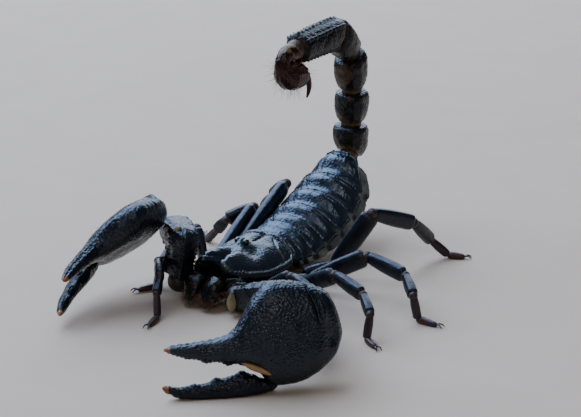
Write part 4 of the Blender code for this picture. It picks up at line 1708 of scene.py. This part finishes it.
@dataclass(frozen=True)
class Arm:
    """One pincer arm."""

    side: Side
    width: float = 6.2
    forearm_depth: float = 5.58
    thickness: float = 7.0
    curl_start: float = 8.0
    curl_length: float = 20.0
    tip_length: float = 1.3
    arm_keels: Row = (45, 135, 225, 315)
    hand_keels: Row = (52, 310)
    lens_profile: tuple[Row, ...] = ((0, 0.3), (0.5, 1.0), (1, 0.3))
    # The ends of the skin between the fingers: along the hand, across it and out of its plane.
    web_ends: tuple[Row, ...] = ((15.2, -3.0, 1.2), (10.0, -5.3, 2.2))
    web_profile: tuple[Row, ...] = ((0, 0.4), (0.4, 1.0), (1, 0.7))

    def axes(self) -> tuple[Vector, Vector, Vector, Vector]:
        """The hand's heel, and its directions along, across and through.

        Returns:
            The point and the three directions.
        """
        heel = Vector(ARMS[self.side][4])
        along = Vector(HANDS[self.side][0]).normalized()
        thick, across = frame_of(along, Vector(HANDS[self.side][1]))
        return heel, along, across, thick

    def middle(self, place: float) -> tuple[Vector, Vector]:
        """The middle of the curled hand's plane at a place along it, and the direction through it there.

        Args:
            place: how far the place lies from the heel.

        Returns:
            The point and the direction.
        """
        heel, along, _, thick = self.axes()
        bent = max(0.0, place - self.curl_start)
        turn = math.radians(HANDS[self.side][2]) * bent / self.curl_length
        chord = math.sin(turn / 2) / (turn / 2) if turn else 1.0
        onward = along * math.cos(turn / 2) + thick * math.sin(turn / 2)
        spot = heel + along * min(place, self.curl_start) + onward * (bent * chord)
        return spot, thick * math.cos(turn) - along * math.sin(turn)

    def flat_form(self, outline: Outline, drops: Row) -> bmesh.types.BMesh:
        """The palm or the free finger, which rests on the floor where it reaches it.

        Args:
            outline: its outline in the hand's plane.
            drops: how far its root and its tip drop out of that plane.

        Returns:
            The form.
        """
        across = self.axes()[2]
        curve = Curve(outline.table)
        first, last = outline.table[0][0], outline.table[-1][0]
        root_drop, tip_drop = drops

        def ring_at(share: float) -> Ring:
            """The ring at a share of the form.

            Args:
                share: the share.

            Returns:
                The ring.
            """
            place = first + (last - first) * share
            low, high, half = curve.at(place)
            calm = round_ends(share, 0.05, 0.03)
            spot, through = self.middle(place)
            drop = root_drop + (tip_drop - root_drop) * share
            return Ring(spot + across * ((low + high) / 2) - through * drop,
                        through * (self.thickness / 2 * half * calm), across * ((high - low) / 2 * calm), 2.5)

        def relief(share: float, turn: float, spot: Vector) -> tuple[float, float]:
            """Granules, dents, the keels of the outer edge and the teeth of the inner edge.

            Args:
                share: how far along the form the point lies.
                turn: its turn round the form.
                spot: its place.

            Returns:
                Its height and its warm tint.
            """
            place = first + (last - first) * share
            low, high, _ = curve.at(place)
            aside = (low + high) / 2 + (high - low) / 2 * math.sin(turn)
            height = 0.06 * grit(spot, 1.5) + 0.12 * noise.noise(spot * 0.45)
            outer = swell(degrees_between(turn, outline.teeth_turn + 180), 0.0, 8.0)
            height += 0.24 * outer * (0.4 + 0.6 * math.sin(2.4 * place) ** 2)
            for keel in self.hand_keels:
                near = swell(degrees_between(turn, keel), 0.0, 7.0)
                height += 0.16 * near * (0.5 + 0.5 * math.sin(2.8 * place) ** 2)
            if outline is PALM:
                height += self.heel_folds(place, aside) * step(-self.side.value * math.cos(turn), -0.1, 0.5)
            height += outline.bite(place) * swell(degrees_between(turn, outline.teeth_turn), 0.0, 24.0)
            tip = last - self.tip_length
            return height * round_ends(share, 0.05, 0.03), 1.2 * step(place, tip, tip + 0.6)

        return lift_above(tube(outline.rows, outline.sides, ring_at, relief))

    @staticmethod
    def heel_folds(place: float, aside: float) -> float:
        """The groove and the ridge near the hand's heel, and the hollow by its wrist.

        Args:
            place: the place along the hand.
            aside: the place across it.

        Returns:
            The height.
        """
        bend = 1.3 + 0.22 * (aside - 5.0) + 0.03 * (aside - 5.0) ** 2
        reach = step(aside, 2.2, 4.2) * (1 - step(aside, 9.0, 10.2))
        groove = -0.55 * swell(place, bend + 0.55, 0.4) + 0.4 * swell(place, bend - 0.45, 0.55)
        socket = -0.8 * swell(place, -0.6, 1.1) * swell(aside, 0.6, 1.7)
        return groove * reach + socket

    def web(self) -> bmesh.types.BMesh:
        """The soft skin between the roots of the two fingers.

        Returns:
            The form.
        """
        across = self.axes()[2]
        spots = []
        for place, aside, out in self.web_ends:
            spot, through = self.middle(place)
            spots.append(spot + across * aside - through * (out * self.side.value))
        return Limb(*spots, 1.4, 1.1, self.web_profile, hint=across, grains=0.0, near=0.3, far=0.3,
                    warm_far=1.0, rows=40, sides=24).build()

    def membrane(self) -> bmesh.types.BMesh:
        """The bare skin beside the shoulder or the elbow.

        Returns:
            The form.
        """
        low, high, wide = MEMBRANES[self.side]
        return Limb(Vector(low), Vector(high), wide, wide * 0.8, self.lens_profile, grains=0.0, near=0.3,
                    far=0.3, rows=40, sides=24).build()

    def root(self) -> bmesh.types.BMesh:
        """The trochanter and the coxa that joins it to the body.

        Returns:
            The form.
        """
        shoulder, elbow = Vector(ARMS[self.side][0]), Vector(ARMS[self.side][1])
        way = self.side.value
        start = shoulder - Vector((way * 0.5, -3.0, 0.8))
        trochanter = Limb(start, shoulder.lerp(elbow, 0.06), 5.2, 5.2, KNOBBED, grains=0.25,
                          grain_density=0.8, warm_near=0.3, warm_far=0.5, rows=90, sides=64)
        coxa = Limb(Vector((way * 3.8, -4.5, 3.4)), Vector((way * 5.6, -9.2, 3.8)), 4.4, 4.8, KNOBBED,
                    grains=0.2, grain_density=0.9, warm_near=0.3, warm_far=0.3, rows=70, sides=48)
        return join([trochanter.build(), coxa.build()])

    def dress(self, shop: Workshop) -> None:
        """Puts the arm's pieces on the frame.

        Args:
            shop: what finishes the pieces.
        """
        shoulder, elbow, fore_start, wrist, _ = (Vector(joint) for joint in ARMS[self.side])
        word = self.side.word
        shop.finish_piece(f"arm_root_{word}", self.root(), JAW, [f"arm_{word}_trochanter"])
        keels = tuple(Keel(turn, 0.46, 6.0, 1.15) for turn in self.arm_keels)
        width = self.width * FULLNESS[self.side]
        upper = Limb(shoulder, elbow, width * 0.86, width * 0.96, ELBOWED, square=2.4, keels=keels,
                     grains=0.14, grain_density=1.3, lumps=0.2, rows=150, sides=72)
        shop.finish_piece(f"upper_arm_{word}", upper.build(), ARM, [f"arm_{word}_femur"])
        fore = Limb(fore_start, wrist, self.width, self.forearm_depth, KNOBBED, square=2.6, keels=keels,
                    grains=0.16, grain_density=1.3, lumps=0.2, warm_near=0.2, patches=0.35, rows=150,
                    sides=72)
        shop.finish_piece(f"forearm_{word}", fore.build(), ARM, [f"arm_{word}_patella"])
        palm = self.flat_form(PALM, (0.0, 0.0))
        shop.finish_piece(f"hand_{word}", palm, HAND, [f"arm_{word}_hand"])
        finger = self.flat_form(FREE_FINGER, HANDS[self.side][3])
        shop.finish_piece(f"free_finger_{word}", finger, FINGER, [f"arm_{word}_finger"])
        shop.finish_piece(f"arm_membrane_{word}", self.membrane(), CREAM)
        skins = join([bead(shoulder, 2.2, 4), bead(fore_start, 2.3, 4), bead(wrist, 2.3, 4)])
        shop.finish_piece(f"arm_skin_{word}", skins, RUST)
        shop.finish_piece(f"finger_skin_{word}", self.web(), WEB)


# ---- The set ----


@dataclass(frozen=True)
class Lamp:
    """One soft square light that faces the animal: its place and size in metres, its power and its tone."""

    name: str
    place: Row
    size: float
    power: float
    tone: Row

    def hang(self, aim: Vector) -> None:
        """Puts the light in the scene.

        Args:
            aim: the point that it faces.
        """
        lamp = bpy.data.lights.new(self.name, "AREA")
        lamp.size = self.size
        lamp.energy = self.power
        lamp.color = self.tone
        made = bpy.data.objects.new(self.name, lamp)
        made.location = self.place
        made.rotation_euler = (aim - Vector(self.place)).to_track_quat("-Z", "Y").to_euler()
        bpy.context.scene.collection.objects.link(made)


@dataclass(frozen=True)
class Studio:
    """The floor, the lights and the camera.

    The camera's aim, distance, lens and film are in millimetres, and the other lengths are in metres."""

    shift: Vector
    aim: Row = (6.27, 9.01, 15.68)
    floor_size: float = 4.0
    floor_tones: tuple[Row, Row] = ((0.52, 0.38, 0.27, 1.0), (0.58, 0.43, 0.31, 1.0))
    floor_roughness: float = 0.8
    sky_tone: Row = (0.6, 0.75, 1.0, 1.0)
    sky_strength: float = 0.14
    lamp_aim: Row = (0.0, 0.0, 0.02)
    lamps: tuple[Lamp, ...] = (
        Lamp("key", (-0.60, 0.0, 0.80), 1.1, 27.0, (0.50, 0.68, 1.0)),
        Lamp("back", (-0.42, 0.78, 0.46), 0.8, 7.0, (0.66, 0.79, 1.0)),
        Lamp("fill", (0.55, -0.75, 0.7), 0.5, 2.0, (1.0, 0.96, 0.9)),
    )
    azimuth: float = 35.97
    elevation: float = 19.29
    roll: float = -0.34
    distance: float = 321.3
    lens: float = 99.68
    film_width: float = 36.0
    nearest: float = 0.01
    farthest: float = 20.0

    def floor_finish(self) -> bpy.types.Material:
        """A pale finish that drifts between two tones.

        Returns:
            The material.
        """
        made = bpy.data.materials.new("floor")
        made.use_nodes = True
        tree = made.node_tree
        place = tree.nodes.new("ShaderNodeTexCoord")
        dust = tree.nodes.new("ShaderNodeTexNoise")
        dust.inputs["Scale"].default_value = 60.0
        tone = tree.nodes.new("ShaderNodeMix")
        tone.data_type = "RGBA"
        tone.inputs["A"].default_value, tone.inputs["B"].default_value = self.floor_tones
        tree.links.new(place.outputs["Object"], dust.inputs["Vector"])
        tree.links.new(dust.outputs["Fac"], tone.inputs["Factor"])
        shader = tree.nodes["Principled BSDF"]
        tree.links.new(tone.outputs["Result"], shader.inputs["Base Color"])
        shader.inputs["Roughness"].default_value = self.floor_roughness
        return made

    def floor(self) -> None:
        """Lays a plain pale floor."""
        form = bmesh.new()
        bmesh.ops.create_grid(form, x_segments=1, y_segments=1, size=self.floor_size / 2)
        mesh = bpy.data.meshes.new("floor")
        form.to_mesh(mesh)
        form.free()
        mesh.materials.append(self.floor_finish())
        piece = bpy.data.objects.new("floor", mesh)
        bpy.context.scene.collection.objects.link(piece)

    def sky(self) -> None:
        """Sets a pale, even surround."""
        world = bpy.data.worlds.new("studio")
        world.use_nodes = True
        background = world.node_tree.nodes["Background"]
        background.inputs["Color"].default_value = self.sky_tone
        background.inputs["Strength"].default_value = self.sky_strength
        bpy.context.scene.world = world

    def camera(self) -> None:
        """Puts the camera at its viewing angle."""
        turn, rise = math.radians(self.azimuth), math.radians(self.elevation)
        back = Vector((math.sin(turn) * math.cos(rise), -math.cos(turn) * math.cos(rise), math.sin(rise)))
        made = bpy.data.cameras.new("camera")
        made.lens = self.lens
        made.sensor_width = self.film_width
        made.clip_start = self.nearest
        made.clip_end = self.farthest
        camera = bpy.data.objects.new("camera", made)
        camera.location = (Vector(self.aim) + self.shift + back * self.distance) * MM
        look = (-back).to_track_quat("-Z", "Y").to_matrix().to_4x4()
        camera.rotation_euler = (look @ Matrix.Rotation(math.radians(self.roll), 4, "Z")).to_euler()
        bpy.context.scene.collection.objects.link(camera)
        bpy.context.scene.camera = camera

    def build(self) -> None:
        """Sets the stage."""
        self.floor()
        self.sky()
        for lamp in self.lamps:
            lamp.hang(Vector(self.lamp_aim))
        self.camera()


def table_shift(head: Head) -> Vector:
    """The shift from the tables to the frame, read from the place of the frame's two eyes.

    Args:
        head: the head, whose eyes are where the tables put them.

    Returns:
        The shift, in millimetres.
    """
    corners = [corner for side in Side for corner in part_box("eye_" + side.word)]
    middle = sum(corners, Vector()) / len(corners) / MM
    height = head.dome(head.eye_spread, head.tubercle) + head.eye_rise
    expected = head.axes() @ Vector((0, head.tubercle, height))
    return Vector((middle.x - expected.x, middle.y - expected.y, 0))


def main() -> None:
    """Builds the animal from its head to its sting, then sets the stage."""
    logging.basicConfig(level=logging.INFO, format="%(message)s")
    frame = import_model()
    LOG.info("frame: %d nodes", len(frame["nodes"]))
    head = Head()
    shop = Workshop(table_shift(head))
    head.dress(shop)
    Trunk(head).dress(shop)
    Tail().dress(shop)
    legs = [Leg(word) for word in LEGS]
    for leg in legs:
        leg.dress(shop)
    bends = join([ball for leg in legs for ball in leg.bends()])
    shop.finish_piece("leg_skin", lift_above(bends, 0.05), RUST)
    for side in Side:
        Arm(side).dress(shop)
    Studio(shop.shift).build()


if __name__ == "__main__":
    main()
